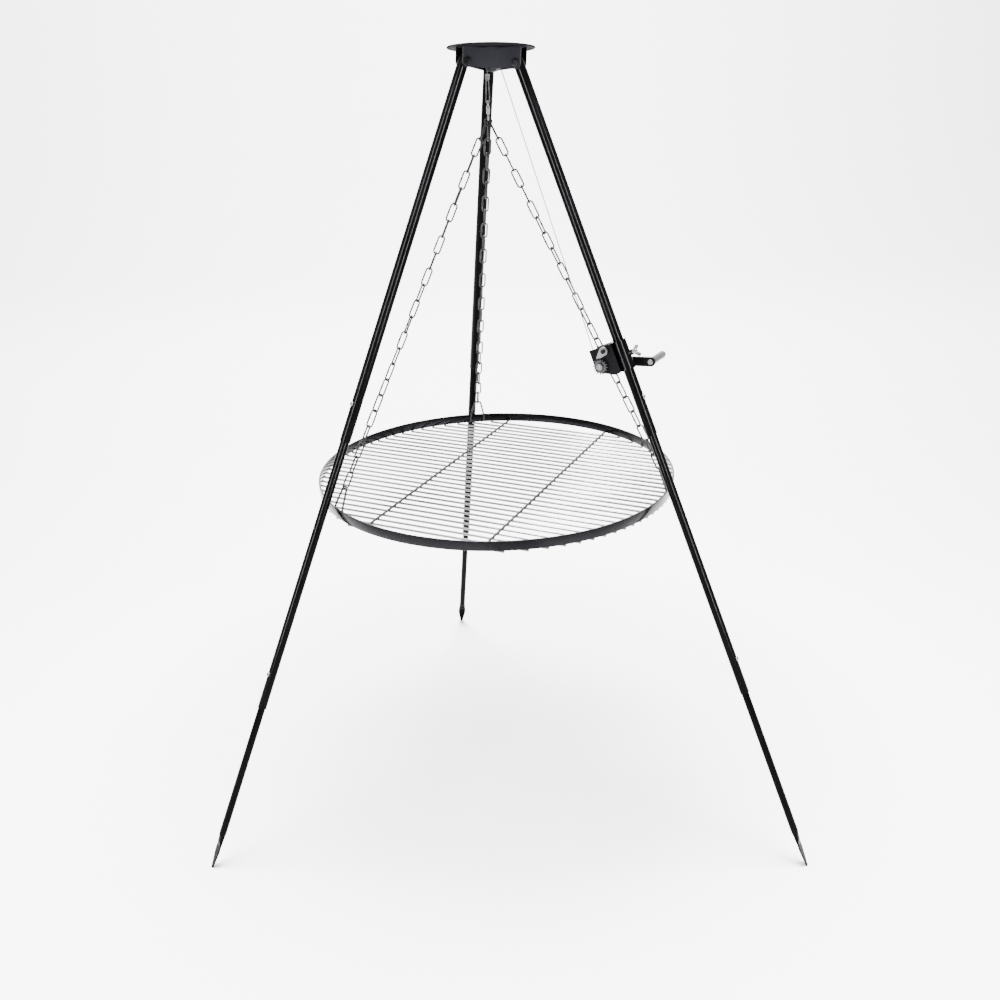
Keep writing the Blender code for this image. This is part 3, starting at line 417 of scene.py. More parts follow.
def mesh_of(name, bm):
    """A mesh from a bmesh, which is used up."""
    mesh = bpy.data.meshes.new(name)
    bm.to_mesh(mesh)
    bm.free()
    return mesh


def merged(name, meshes):
    bm = bmesh.new()
    for mesh in meshes:
        bm.from_mesh(mesh)
        bpy.data.meshes.remove(mesh)
    return mesh_of(name, bm)


def turned(name, profile, steps, matrix, ring=False):
    """A profile of (radius, height), down its outer side, turned about the matrix's Z."""
    verts = []
    for step in range(steps):
        angle = 2 * math.pi * step / steps
        verts += [matrix @ Vector((r * math.cos(angle), r * math.sin(angle), z))
                  for r, z in profile]
    count = len(profile)
    faces = []
    for step in range(steps):
        this = step * count
        following = (step + 1) % steps * count
        for i in range(count if ring else count - 1):
            j = (i + 1) % count
            faces.append((this + i, this + j, following + j, following + i))
    mesh = mesh_from(name, verts, faces)
    if not ring:
        close_poles(mesh)
    return mesh


def ring_faces(this, following, count):
    """Faces between two closed rings, from the numbers of their first points."""
    return [(this + k, this + (k + 1) % count, following + (k + 1) % count, following + k)
            for k in range(count)]


def ring_cap(first, count, upwards):
    """Flat end face on a ring."""
    ring = range(first, first + count)
    return tuple(ring) if upwards else tuple(reversed(ring))


def close_poles(mesh):
    """Weld the points of a turned shape that lie on its axis, and drop the empty faces."""
    bm = bmesh.new()
    bm.from_mesh(mesh)
    bmesh.ops.remove_doubles(bm, verts=bm.verts, dist=0.000001)
    bmesh.ops.recalc_face_normals(bm, faces=bm.faces)
    bm.to_mesh(mesh)
    bm.free()


def rounded_wall(outer, inner, low, high, edge):
    """Closed profile of a tube's wall with small rounded lips."""
    corners = ((outer - edge, high - edge, 90, 0), (outer - edge, low + edge, 0, -90),
               (inner + edge, low + edge, -90, -180), (inner + edge, high - edge, -180, -270))
    profile = []
    for r, z, first, last in corners:
        for i in range(4):
            angle = RAD(first + (last - first) * i / 3)
            profile.append((r + edge * math.cos(angle), z + edge * math.sin(angle)))
    return profile


def frames_along(points, closed):
    """Tangent, normal and side at each point, carried along without twist."""
    count = len(points)
    tangents = []
    for i in range(count):
        before = points[i - 1] if closed or i else points[0]
        after = points[(i + 1) % count] if closed or i < count - 1 else points[-1]
        tangents.append((after - before).normalized())
    normal = tangents[0].orthogonal().normalized()
    frames = []
    for tangent in tangents:
        normal = (normal - tangent * normal.dot(tangent)).normalized()
        frames.append((tangent, normal, tangent.cross(normal)))
    return frames


def tube_mesh(name, points, radius, closed=False, sides=WIRE_SIDES, swell=None):
    """Round wire along points; swell gives a factor on the radius at each point."""
    frames = frames_along(points, closed)
    verts = []
    for i, (point, (_, normal, side)) in enumerate(zip(points, frames)):
        size = radius * (swell[i] if swell else 1)
        for k in range(sides):
            angle = 2 * math.pi * k / sides
            verts.append(point + (normal * math.cos(angle) + side * math.sin(angle)) * size)
    faces = []
    count = len(points)
    for i in range(count if closed else count - 1):
        j = (i + 1) % count
        shift = closing_shift(frames, sides) if closed and j == 0 else 0
        for k in range(sides):
            n = (k + 1) % sides
            faces.append((i * sides + k, i * sides + n,
                          j * sides + (n + shift) % sides, j * sides + (k + shift) % sides))
    if not closed:
        faces.append(ring_cap(0, sides, False))
        faces.append(ring_cap((count - 1) * sides, sides, True))
    return mesh_from(name, verts, faces)


def closing_shift(frames, sides):
    """How many sides the carried frame has turned when a closed wire meets its start."""
    tangent, normal, side = frames[0]
    carried = (frames[-1][1] - tangent * frames[-1][1].dot(tangent)).normalized()
    angle = math.atan2(carried.dot(side), carried.dot(normal))
    return round(angle / (2 * math.pi) * sides) % sides


def rounded_bar(name, start, end):
    """Straight rod of the grate with softly domed ends."""
    along = (end - start).normalized()
    edge = ROD_RADIUS * 0.35
    points = [start, start + along * edge * 0.3, start + along * edge]
    points += [end - along * edge, end - along * edge * 0.3, end]
    return tube_mesh(name, points, ROD_RADIUS, sides=16, swell=[0.62, 0.88, 1, 1, 0.88, 0.62])


def arc(centre, radius, first, last, steps):
    points = []
    for i in range(steps + 1):
        angle = RAD(first + (last - first) * i / steps)
        points.append((centre[0] + radius * math.cos(angle), centre[1] + radius * math.sin(angle)))
    return points


def bead(at, size, turn):
    """Small irregular blob of weld."""
    bm = bmesh.new()
    bmesh.ops.create_icosphere(bm, subdivisions=2, radius=1)
    for vert in bm.verts:
        vert.co *= 1 + 0.10 * math.sin(vert.co.x * 5 + vert.co.y * 7 + at[0] * 900)
    matrix = Matrix.Translation(at) @ Matrix.Rotation(turn, 4, "Z") @ Matrix.Diagonal((*size, 1))
    bmesh.ops.transform(bm, matrix=matrix, verts=bm.verts)
    return mesh_of("bead", bm)


def box_mesh(name, matrix):
    """Unit cube under a matrix."""
    bm = bmesh.new()
    bmesh.ops.create_cube(bm, size=1)
    bmesh.ops.transform(bm, matrix=matrix, verts=bm.verts)
    return mesh_of(name, bm)


# ---- places from the frame
def vertices_of(frame, node):
    return [vert.co.copy() for vert in frame["nodes"][node].data.vertices]


def mean(points):
    return sum(points, Vector()) / len(points)


def reach_along(frame, node, axis):
    """How far a node goes along an axis, as the least and greatest distance."""
    reach = [vert.dot(axis) for vert in vertices_of(frame, node)]
    return min(reach), max(reach)


def turn_to(axis):
    """Rotation that takes Z to the axis."""
    return Vector((0, 0, 1)).rotation_difference(axis).to_matrix().to_4x4()


def plan_middle(low, high):
    """Middle of a box, seen from above."""
    return (low[0] + high[0]) / 2, (low[1] + high[1]) / 2


def ends_of(frame, node):
    """Centres of the two ends of a straight bar."""
    verts = vertices_of(frame, node)
    start = verts[0]
    far = max(verts, key=lambda v: (v - start).length)
    near = max(verts, key=lambda v: (v - far).length)
    axis = (far - near).normalized()
    reach = [v.dot(axis) for v in verts]
    return [mean([v for v, at in zip(verts, reach) if abs(at - limit) < 0.0004])
            for limit in (min(reach), max(reach))]


def peak_of(frame, node, depth):
    """Middle of a node's highest stretch, depth below its top."""
    verts = vertices_of(frame, node)
    top = max(v.z for v in verts)
    middle = mean([v for v in verts if v.z > top - 0.0006])
    return Vector((middle.x, middle.y, top - depth))


def leg_matrix(maker, leg):
    """Leg frame: origin on the fold bolt, -Z down the leg, +X outwards."""
    pivot, axis = maker.joint_line("fold_" + leg)
    foot = Vector(maker.mounts["foot_" + leg]["pos_m"])
    z = (pivot - foot).normalized()
    y = -axis
    x = y.cross(z).normalized()
    turn = Matrix((x, y, z)).transposed().to_4x4()
    return Matrix.Translation(pivot) @ turn, (pivot - foot).length


# ---- legs
def make_tube(maker, leg, matrix, part, top, bottom, bore):
    wall = rounded_wall(TUBES[part], bore, bottom, top, TUBE_LIP)
    node = part + "_tube_" + leg
    mesh = turned(node + "_fine", wall, TUBE_SIDES, matrix, ring=True)
    maker.stand_in(node, mesh, "tube", 60)


def foot_section(half_x, half_y, height, square):
    """A flattened round section; square runs from an ellipse (0) to a rectangle (1)."""
    points = []
    for i in range(TUBE_SIDES // 2):
        angle = 2 * math.pi * (i + 0.5) / (TUBE_SIDES // 2)
        x = math.cos(angle)
        y = math.sin(angle)
        grow = 1 + square * (1 / max(abs(x), abs(y)) - 1)
        points.append(Vector((half_x * x * grow, half_y * y * grow, height)))
    return points


def blend_value(stations, t):
    """Smooth value between (t, value) stations."""
    for (t0, v0), (t1, v1) in zip(stations, stations[1:]):
        if t <= t1:
            u = (t - t0) / (t1 - t0)
            return v0 + (v1 - v0) * u * u * (3 - 2 * u)
    return stations[-1][1]


def pressed_rings(round_end, top):
    """Rings of the lower tube's outside, from its top down to the flat foot."""
    radius = TUBES["lower"]
    rings = [foot_section(radius - TUBE_LIP, radius - TUBE_LIP, top, 0),
             foot_section(radius, radius, top - TUBE_LIP, 0)]
    for i in range(PRESS_RINGS):
        t = PRESS_END * i / (PRESS_RINGS - 1)
        rings.append(foot_section(blend_value(PRESS_THICK, t), blend_value(PRESS_WIDTH, t),
                                  round_end - t, blend_value(PRESS_SQUARE, t)))
    return rings


def landed_tip(matrix, length):
    """The foot's tip, run on down the leg until every corner is on the floor."""
    inverse = matrix.inverted()
    down = (matrix.to_3x3() @ Vector((0, 0, -1))).normalized()
    landed = []
    for point in foot_section(FOOT_THICKNESS / 2, FOOT_TIP / 2, -length, 1.0):
        world = matrix @ point
        landed.append(inverse @ (world - down * (world.z / down.z)))
    return landed


def make_lower_tube(maker, leg, matrix, length, top):
    """Round tube whose end is pressed flat across the leg and cut to a point."""
    round_end = -length + FOOT_FLAT + PRESS_LENGTH
    rings = pressed_rings(round_end, top)
    landed = landed_tip(matrix, length)
    rings += [[a.lerp(b, PRESS_SHOULDER) for a, b in zip(rings[-1], landed)], landed]
    bore = TUBES["lower"] - TUBE_WALL
    inner = [foot_section(bore, bore, round_end + 0.004, 0), foot_section(bore, bore, top, 0)]
    count = len(landed)
    total = len(rings) + len(inner)
    faces = []
    for i in list(range(len(rings) - 1)) + [len(rings), total - 1]:
        faces += ring_faces((i + 1) % total * count, i * count, count)
    faces.append(ring_cap((len(rings) - 1) * count, count, True))
    faces.append(ring_cap(len(rings) * count, count, False))
    node = "lower_tube_" + leg
    mesh = mesh_from(node, [matrix @ point for ring in rings + inner for point in ring], faces)
    close_poles(mesh)
    maker.stand_in(node, mesh, "tube", 32)


def make_screw(maker, leg, matrix, node, radius, height):
    """Dome-headed screw with a cross recess."""
    place = matrix @ Matrix.Translation((radius + GAP, 0, height))
    place = place @ Matrix.Rotation(RAD(90), 4, "Y")
    profile = [(0, SCREW_DOME)]
    profile += [(SCREW_DOME_RADIUS * math.sin(RAD(a)), SCREW_DOME * math.cos(RAD(a)) ** 0.8)
                for a in range(12, 90, 13)]
    screw = turned(node + "_fine", profile + SCREW_SHANK, 28, place)
    maker.stand_in(node, screw, "zinc", 40)
    size = Matrix.Diagonal((*RECESS_SIZE, 1))
    lift = Matrix.Translation((0, 0, RECESS_HEIGHT))
    recess = [box_mesh("slot", place @ Matrix.Rotation(RAD(turn), 4, "Z") @ lift @ size)
              for turn in RECESS_TURNS]
    maker.add(node + "_recess", merged(node + "_recess", recess), "fixing", "leg_" + leg)


def make_legs(maker):
    for leg in LEGS:
        matrix, length = leg_matrix(maker, leg)
        upper = -TUBE_END["upper"][leg]
        middle = -TUBE_END["middle"][leg]
        make_tube(maker, leg, matrix, "upper", LEG_TOP, upper, TUBES["middle"] + GAP)
        make_tube(maker, leg, matrix, "middle", upper + TUBE_OVERLAP, middle,
                  TUBES["lower"] + GAP)
        make_lower_tube(maker, leg, matrix, length, middle + TUBE_OVERLAP)
        make_screw(maker, leg, matrix, "upper_screw_" + leg, TUBES["upper"],
                   upper + SCREW_ABOVE_END)
        make_screw(maker, leg, matrix, "lower_screw_" + leg, TUBES["middle"],
                   middle + SCREW_ABOVE_END)


# ---- pieces with bevelled edges
def refined_mesh(source, width):
    """A copy of a CAD mesh with its flat faces whole again and its edges rounded."""
    bm = bmesh.new()
    bm.from_mesh(source.data)
    bmesh.ops.remove_doubles(bm, verts=bm.verts, dist=0.00001)
    bmesh.ops.dissolve_limit(bm, angle_limit=RAD(1.0), verts=bm.verts, edges=bm.edges)
    mesh = mesh_of(source.name + "_fine", bm)
    mesh.shade_smooth()
    obj = add_object(source.name + "_bevel", mesh)
    edge = obj.modifiers.new("edge", "BEVEL")
    edge.width = width
    edge.segments = BEVEL_SEGMENTS
    edge.limit_method = "ANGLE"
    edge.angle_limit = RAD(BEVEL_ANGLE)
    edge.use_clamp_overlap = True
    graph = bpy.context.evaluated_depsgraph_get()
    made = bpy.data.meshes.new_from_object(obj.evaluated_get(graph))
    bpy.data.objects.remove(obj, do_unlink=True)
    bpy.data.meshes.remove(mesh)
    return made


def weigh_normals(obj):
    weigh = obj.modifiers.new("flat faces stay flat", "WEIGHTED_NORMAL")
    weigh.keep_sharp = True


def make_bevelled(maker):
    for finish, widths in BEVELLED.items():
        for node, width in widths.items():
            mesh = refined_mesh(maker.frame["nodes"][node], width)
            weigh_normals(maker.stand_in(node, mesh, finish, 50))


# ---- head
def disc_frame(maker):
    mount = maker.mounts["disc_top"]
    up = Vector(mount["axis"]).normalized()
    return Matrix.Translation(Vector(mount["pos_m"])) @ turn_to(up)


def make_disc(maker):
    """Cap plate with a rounded edge."""
    low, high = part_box("top_disc")
    radius = (high[0] - low[0]) / 2
    flat = radius - DISC_EDGE
    rim = arc((flat, -DISC_EDGE), DISC_EDGE, 90, -90, 8)
    profile = [(0, 0), (radius * 0.78, 0), (flat, 0)]
    profile += rim[1:-1]
    profile += [(flat, -DISC_THICKNESS), (radius * 0.5, -DISC_THICKNESS), (0, -DISC_THICKNESS)]
    mesh = turned("top_disc_fine", profile, DISC_STEPS, disc_frame(maker))
    maker.stand_in("top_disc", mesh, "plate", 30)


def make_bracket_welds(maker):
    """Short weld runs that hold the folded brackets under the cap plate."""
    beads = []
    random.seed(4)
    place = disc_frame(maker)
    away, aside, up = BRACKET_WELD_AT
    for azimuth in BRACKET_AZIMUTHS:
        out = Matrix.Rotation(RAD(azimuth), 4, "Z")
        for side in (-1, 1):
            for i in range(BRACKET_BEADS):
                y = side * aside + (i - 4) * BRACKET_BEAD_PITCH
                at = place @ out @ Vector((away + random.uniform(-0.0001, 0.0001), y, up))
                beads.append(bead(at, BRACKET_BEAD, RAD(azimuth)))
    maker.add("bracket_welds", merged("bracket_welds", beads), "sheet", "head", sharp=80)


# ---- ropes
def resampled(points, step):
    """Points every step along a polyline."""
    lengths = [0.0]
    for a, b in zip(points, points[1:]):
        lengths.append(lengths[-1] + (b - a).length)
    count = max(2, round(lengths[-1] / step))
    made = []
    k = 0
    for i in range(count + 1):
        at = lengths[-1] * i / count
        while k < len(points) - 2 and lengths[k + 1] < at:
            k += 1
        u = (at - lengths[k]) / (lengths[k + 1] - lengths[k])
        made.append(points[k].lerp(points[k + 1], min(max(u, 0), 1)))
    return made


def rope_mesh(name, points, step=0.0010):
    """Wire rope: strands laid round a core, along a path."""
    path = resampled(points, step)
    frames = frames_along(path, False)
    strand = ROPE_RADIUS * STRAND_SHARE
    offset = ROPE_RADIUS - strand
    meshes = [tube_mesh(name, path[::4] + [path[-1]], ROPE_RADIUS * CORE_SHARE, sides=8)]
    for s in range(ROPE_STRANDS):
        line = []
        run = 0.0
        for i, (point, (_, normal, side)) in enumerate(zip(path, frames)):
            run += (point - path[i - 1]).length if i else 0
            angle = 2 * math.pi * (s / ROPE_STRANDS + run / ROPE_LAY)
            line.append(point + (normal * math.cos(angle) + side * math.sin(angle)) * offset)
        meshes.append(tube_mesh(name, line, strand, sides=6))
    return merged(name, meshes)


def make_hoist_rope(maker):
    start, end = ends_of(maker.frame, "hoist_rope")
    maker.stand_in("hoist_rope", rope_mesh("hoist_rope_fine", [start, end]), "rope", 80)


def make_pulley_rope(maker):
    """The stretch over the pulley, from where its solid starts to where it ends."""
    centre, axis = maker.joint_line("pulley_spin")
    x = axis.cross(Vector((0, 0, 1))).normalized()
    z = x.cross(axis).normalized()
    angles = []
    radii = []
    for vert in vertices_of(maker.frame, "pulley_rope"):
        local = vert - centre
        angles.append(math.atan2(local.dot(z), local.dot(x)))
        radii.append(math.hypot(local.dot(z), local.dot(x)))
    radius = (min(radii) + max(radii)) / 2
    turned_angles = [(angle + math.pi / 2) % (2 * math.pi) for angle in angles]
    first = min(turned_angles) - math.pi / 2
    last = max(turned_angles) - math.pi / 2
    path = []
    for i in range(25):
        angle = first + (last - first) * i / 24
        path.append(centre + (x * math.cos(angle) + z * math.sin(angle)) * radius)
    maker.stand_in("pulley_rope", rope_mesh("pulley_rope_fine", path), "rope", 80)


def make_load_rope(maker):
    """The hanging stretch between the pulley and the ferrule, which lengthens on the real tripod;
    it is made here once, at the length of its solid.
    """
    low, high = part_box("load_rope")
    x, y = plan_middle(low, high)
    top = Vector((x, y, high[2]))
    bottom = Vector((x, y, low[2]))
    rope = maker.add("load_rope_fine", rope_mesh("load_rope_fine", [top, bottom]), "rope", None,
                     ("load_rope",), sharp=80)
    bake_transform(rope)


def make_rope_coil(maker):
    """Rope wound on the drum: the outer layer turn beside turn, a plain bed for the one below."""
    centre, axis = maker.joint_line("drum_spin")
    first, last = reach_along(maker.frame, "rope_coil", axis)
    centre += axis * ((first + last) / 2 - centre.dot(axis))
    half = (last - first) / 2
    place = Matrix.Translation(centre) @ turn_to(axis)
    wound = COIL_RADIUS - ROPE_RADIUS
    turns = int(2 * half / (COIL_PITCH * ROPE_RADIUS)) - 1
    total = turns * COIL_STEPS
    path = []
    for i in range(total + 1):
        angle = 2 * math.pi * i / COIL_STEPS
        along = (i / total - 0.5) * 2 * (half - ROPE_RADIUS)
        path.append(place @ Vector((wound * math.cos(angle), wound * math.sin(angle), along)))
    outer = tube_mesh("rope_coil_fine", path, ROPE_RADIUS, sides=8)
    wall = rounded_wall(wound, DRUM_CORE + GAP, -half, half, 0.0003)
    bed = turned("bed", wall, 40, place, ring=True)
    maker.stand_in("rope_coil", merged("rope_coil_fine", [outer, bed]), "rope", 80)


def make_eye(maker):
    """The rope's end, bent to an eye."""
    low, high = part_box("rope_eye")
    middle = Vector((*plan_middle(low, high), 0))
    width = (high[0] - low[0]) / 2 - ROPE_RADIUS
    top = high[2] - ROPE_RADIUS
    bottom = low[2] + ROPE_RADIUS
    half_top = width * EYE_SHOULDER
    path = [middle + Vector((half_top, 0, top)), middle + Vector((-half_top, 0, top))]
    for x, z in arc((0, bottom + width), width, 180, 360, 20):
        path.append(middle + Vector((x, 0, z)))
    path.append(path[0])
    maker.stand_in("rope_eye", rope_mesh("rope_eye_fine", path, 0.0008), "rope", 80)


def ferrule_ring(half_x, half_y, ease, pinch):
    """Outline of the flattened ferrule in plan: a rounded bar, pinched across."""
    points = []
    for k in range(FERRULE_SIDES):
        angle = 2 * math.pi * k / FERRULE_SIDES
        straight = (half_x - half_y) * (1 if math.cos(angle) > 0 else -1)
        points.append(((straight + half_y * math.cos(angle)) * ease,
                       half_y * math.sin(angle) * ease * pinch))
    return points


def make_ferrule(maker):
    """Pressed ferrule over the two ropes of the eye, with swage marks."""
    low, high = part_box("rope_ferrule")
    centre = Vector((*plan_middle(low, high), 0))
    half_x = (high[0] - low[0]) / 2
    half_y = (high[1] - low[1]) / 2
    steps = FERRULE_RINGS - 1
    verts = []
    for i in range(FERRULE_RINGS):
        t = i / steps
        pinch = 1 - FERRULE_PINCH * (0.5 - 0.5 * math.cos(2 * math.pi * t * 3))
        end = min(t, 1 - t) * steps
        ease = FERRULE_EASE[int(end)] if end < len(FERRULE_EASE) else 1.0
        z = low[2] + (high[2] - low[2]) * t
        verts += [centre + Vector((x, y, z)) for x, y in ferrule_ring(half_x, half_y, ease, pinch)]
    faces = []
    for i in range(steps):
        faces += ring_faces(i * FERRULE_SIDES, (i + 1) * FERRULE_SIDES, FERRULE_SIDES)
    faces.append(ring_cap(0, FERRULE_SIDES, False))
    faces.append(ring_cap(steps * FERRULE_SIDES, FERRULE_SIDES, True))
    maker.stand_in("rope_ferrule", mesh_from("rope_ferrule_fine", verts, faces), "zinc", 50)


def hook_eye(x, y, middle, barrel, first):
    """One eye of the swivel, open towards the barrel; first is where its full round starts."""
    loop = [Vector((x, y + u, v))
            for u, v in arc((0, middle), HOOK_LOOP, first + HOOK_GAP, first + 360 - HOOK_GAP, 28)]
    neck = Vector((x, y, barrel))
    aside = Vector((0, NECK_HALF if middle > barrel else -NECK_HALF, 0))
    return tube_mesh("eye", [neck + aside] + loop + [neck - aside], HOOK_WIRE)


def barrel_profile():
    """Outline of the swivel's barrel, with turned grooves between two swaged collars."""
    half = BARREL_HALF
    radius = BARREL_RADIUS
    profile = [(0, half), (radius * 0.62, half), (radius * 0.88, half * 0.93),
               (radius, half * 0.84), (radius, half * 0.50)]
    for groove in range(GROOVES):
        z = half * (0.46 - 1.22 * groove / GROOVES)
        profile += [(radius * 0.86, z), (radius * 0.97, z - half * 0.06),
                    (radius * 0.97, z - half * 0.11)]
    profile += [(radius, -half * 0.80), (radius * 0.88, -half * 0.93), (radius * 0.62, -half),
                (0, -half)]
    return profile


def make_hook(maker):
    """Swivel: a barrel between two eyes."""
    low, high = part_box("swivel_hook")
    x, y = plan_middle(low, high)
    barrel = maker.joints["hook_swivel"]["pos_m"][2] - BARREL_BELOW_EYE
    pieces = [hook_eye(x, y, high[2] - HOOK_WIRE - HOOK_LOOP, barrel, -90),
              hook_eye(x, y, low[2] + HOOK_WIRE + HOOK_LOOP, barrel, 90),
              turned("barrel", barrel_profile(), 32, Matrix.Translation((x, y, barrel)))]
    maker.stand_in("swivel_hook", merged("swivel_hook_fine", pieces), "zinc", 50)


# ---- chains
def link_points(length, half_width):
    """Round-ended loop in the XZ plane; length is between the wire's middles."""
    straight = length / 2 - half_width
    points = []
    for centre, first, x in ((straight, 0, -half_width), (-straight, 180, half_width)):
        bend = arc((0, centre), half_width, first, first + 180, LINK_BEND_STEPS)
        points += [Vector((u, 0, v)) for u, v in bend]
        for i in range(1, LINK_SIDE_STEPS):
            points.append(Vector((x, 0, centre - 2 * centre * i / LINK_SIDE_STEPS)))
    return points


def link_mesh(length, half_width, radius):
    """One link; the wire swells a little at the weld in the middle of one side."""
    points = link_points(length, half_width)
    swell = []
    for point in points:
        near = math.exp(-(point.z / LINK_WELD_LENGTH) ** 2) if point.x < 0 else 0
        swell.append(1 + LINK_WELD * near)
    return tube_mesh("link", points, radius, closed=True, swell=swell)


def along_chain(centre, axis, normal, quarter):
    """Placement of a link: Z along the chain, Y across its flat, turned by quarter turns."""
    across = normal.cross(axis).normalized()
    facing = axis.cross(across).normalized()
    turn = Matrix((across, facing, axis)).transposed().to_4x4()
    return Matrix.Translation(centre) @ turn @ Matrix.Rotation(RAD(90 * quarter), 4, "Z")


def ring_place():
    low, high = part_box("gather_ring")
    centre = (Vector(low) + Vector(high)) / 2
    return centre, (high[0] - low[0]) / 2 - RING_WIRE


def make_ring(maker):
    centre, radius = ring_place()
    angles = range(0, 360, RING_STEP)
    path = [centre + Vector((radius * math.cos(RAD(a)), 0, radius * math.sin(RAD(a))))
            for a in angles]
    swell = [1 + RING_WELD * math.exp(-((a - RING_WELD_AT) / RING_WELD_LENGTH) ** 2)
             for a in angles]
    mesh = tube_mesh("gather_ring_fine", path, RING_WIRE, closed=True, sides=16, swell=swell)
    maker.stand_in("gather_ring", mesh, "chain", 80)


def chain_normals(leg, centre, low):
    """Across the flat of the top link, as the ring holds it, and of the last, on the hanger."""
    seat = RAD(RING_SEAT[leg])
    first = Vector((math.cos(seat), 0, math.sin(seat)))
    azimuth = math.atan2(low.y - centre.y, low.x - centre.x)
    last = Vector((-math.sin(azimuth), math.cos(azimuth), 0))
    return first, (-last if first.dot(last) < 0 else last)


def make_chain(maker, leg):
    """A long top link in the ring, then crossed links, each hanging in the one above."""
    centre, radius = ring_place()
    seat = RAD(RING_SEAT[leg])
    top = centre + Vector((radius * math.sin(seat), 0, -radius * math.cos(seat)))
    low = peak_of(maker.frame, "hanger_" + leg, HANGER_RADIUS)
    axis = (low - top).normalized()
    first_normal, last_normal = chain_normals(leg, centre, low)
    start = top - axis * (TOP_LINK_WIRE + RING_WIRE + 2 * GAP)
    long_link = link_mesh(TOP_LINK_LENGTH, TOP_LINK_HALF_WIDTH, TOP_LINK_WIRE)
    long_link.transform(along_chain(start + axis * (TOP_LINK_LENGTH / 2), axis, first_normal, 0))
    maker.stand_in("top_link_" + leg, long_link, "chain", 80)
    first_end = start + axis * (TOP_LINK_LENGTH - TOP_LINK_WIRE - CHAIN_WIRE - GAP)
    last_end = low + axis * (CHAIN_WIRE + HANGER_RADIUS + 2 * GAP)
    nip = 2 * CHAIN_WIRE
    pitch = ((last_end - first_end).length - nip) / CHAIN_LINKS
    random.seed(LEGS.index(leg) + 11)
    links = []
    for k in range(CHAIN_LINKS):
        normal = first_normal.lerp(last_normal, k / (CHAIN_LINKS - 1))
        middle = first_end + axis * (pitch * (k + 0.5) + nip / 2)
        piece = link_mesh(pitch + nip, CHAIN_HALF_WIDTH, CHAIN_WIRE)
        loose = RAD(random.uniform(-LINK_LOOSE, LINK_LOOSE)) if 0 < k < CHAIN_LINKS - 1 else 0
        turn = Matrix.Rotation(loose, 4, "Z")
        piece.transform(along_chain(middle, axis, normal, (k + 1) % 2) @ turn)
        links.append(piece)
    maker.stand_in("chain_" + leg, merged("chain_" + leg, links), "chain", 80)


def radial(azimuth):
    """Outward and sideways directions at an azimuth round the grate."""
    return (Vector((math.cos(azimuth), math.sin(azimuth), 0)),
            Vector((-math.sin(azimuth), math.cos(azimuth), 0)))


def hanger_outline(half, base, apex, foot_z):
    """The bent wire as (outwards, sideways, height): upright feet, then sloping up to the bend."""
    slope = (apex - base).normalized()
    rise = (apex - base).length
    bend = arc((0, rise - HANGER_BEND), HANGER_BEND, 20, 160, 18)
    loop = [(half, 0)] + bend + [(-half, 0)]
    flat = [(base.x + slope.x * v, u, base.y + slope.y * v) for u, v in loop]
    return [(base.x, half, foot_z)] + flat + [(base.x, -half, foot_z)]


def make_hanger(maker, leg, rim_centre):
    """The bent wire on its solid's own line, with the two welds that hold it to the rim."""
    node = "hanger_" + leg
    foot_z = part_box(node)[0][2]
    peak = peak_of(maker.frame, node, HANGER_RADIUS)
    azimuth = math.atan2(peak.y - rim_centre.y, peak.x - rim_centre.x)
    out, side = radial(azimuth)
    verts = vertices_of(maker.frame, node)
    feet = [v for v in verts if v.z < foot_z + 0.0006]
    ends = [mean([v for v in feet if (v - peak).dot(side) * sign > 0]) for sign in (1, -1)]
    half = abs((ends[0] - peak).dot(side))
    bend_z = max(v.z for v in verts if abs(abs((v - peak).dot(side)) - half) < 0.0026) - 0.001
    base = Vector(((ends[0] - rim_centre).dot(out), bend_z))
    apex = Vector(((peak - rim_centre).dot(out), peak.z))
    origin = Vector((rim_centre.x, rim_centre.y, 0))
    path = [origin + out * r + side * u + Vector((0, 0, z))
            for r, u, z in hanger_outline(half, base, apex, foot_z)]
    mesh = tube_mesh(node + "_fine", softened(path), HANGER_RADIUS, sides=14)
    maker.stand_in(node, mesh, "chain", 80)
    beads = []
    for end in ends:
        for i in range(HANGER_BEADS):
            at = end + out * 0.0012 + Vector((0, 0, 0.003 + i * HANGER_BEAD_PITCH))
            beads.append(bead(at, HANGER_BEAD, azimuth))
    maker.add(node + "_welds", merged(node + "_welds", beads), "weld", "grate", sharp=80)


def softened(path, rounds=2):
    """Round a polyline's corners by cutting them, keeping its ends."""
    for _ in range(rounds):
        cut = [path[0]]
        for a, b in zip(path, path[1:]):
            cut += [a.lerp(b, 0.2), a.lerp(b, 0.8)]
        cut.append(path[-1])
        path = cut
    return path


# ---- grate
def rim_place():
    low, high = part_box("grate_rim")
    centre = (Vector(low) + Vector(high)) / 2
    return centre, (high[0] - low[0]) / 2, low[2], high[2]


def make_rim(maker):
    """Flat bar rolled into a hoop, edges eased, with its butt weld ground nearly flush."""
    centre, radius, low, high = rim_place()
    place = Matrix.Translation((centre.x, centre.y, 0))
    wall = rounded_wall(radius, radius - RIM_THICKNESS, low, high, RIM_EASE)
    maker.stand_in("grate_rim", turned("grate_rim_fine", wall, RIM_STEPS, place, ring=True),
                   "rim", 60)
    seam = []
    azimuth = RAD(SEAM_AZIMUTH)
    at = centre + radial(azimuth)[0] * (radius - 0.0002)
    for i in range(SEAM_BEADS):
        z = low + (high - low) * (i + 0.5) / SEAM_BEADS
        seam.append(bead((at.x, at.y, z), SEAM_BEAD, azimuth))
    maker.add("rim_seam", merged("rim_seam", seam), "rim", "grate", sharp=80)


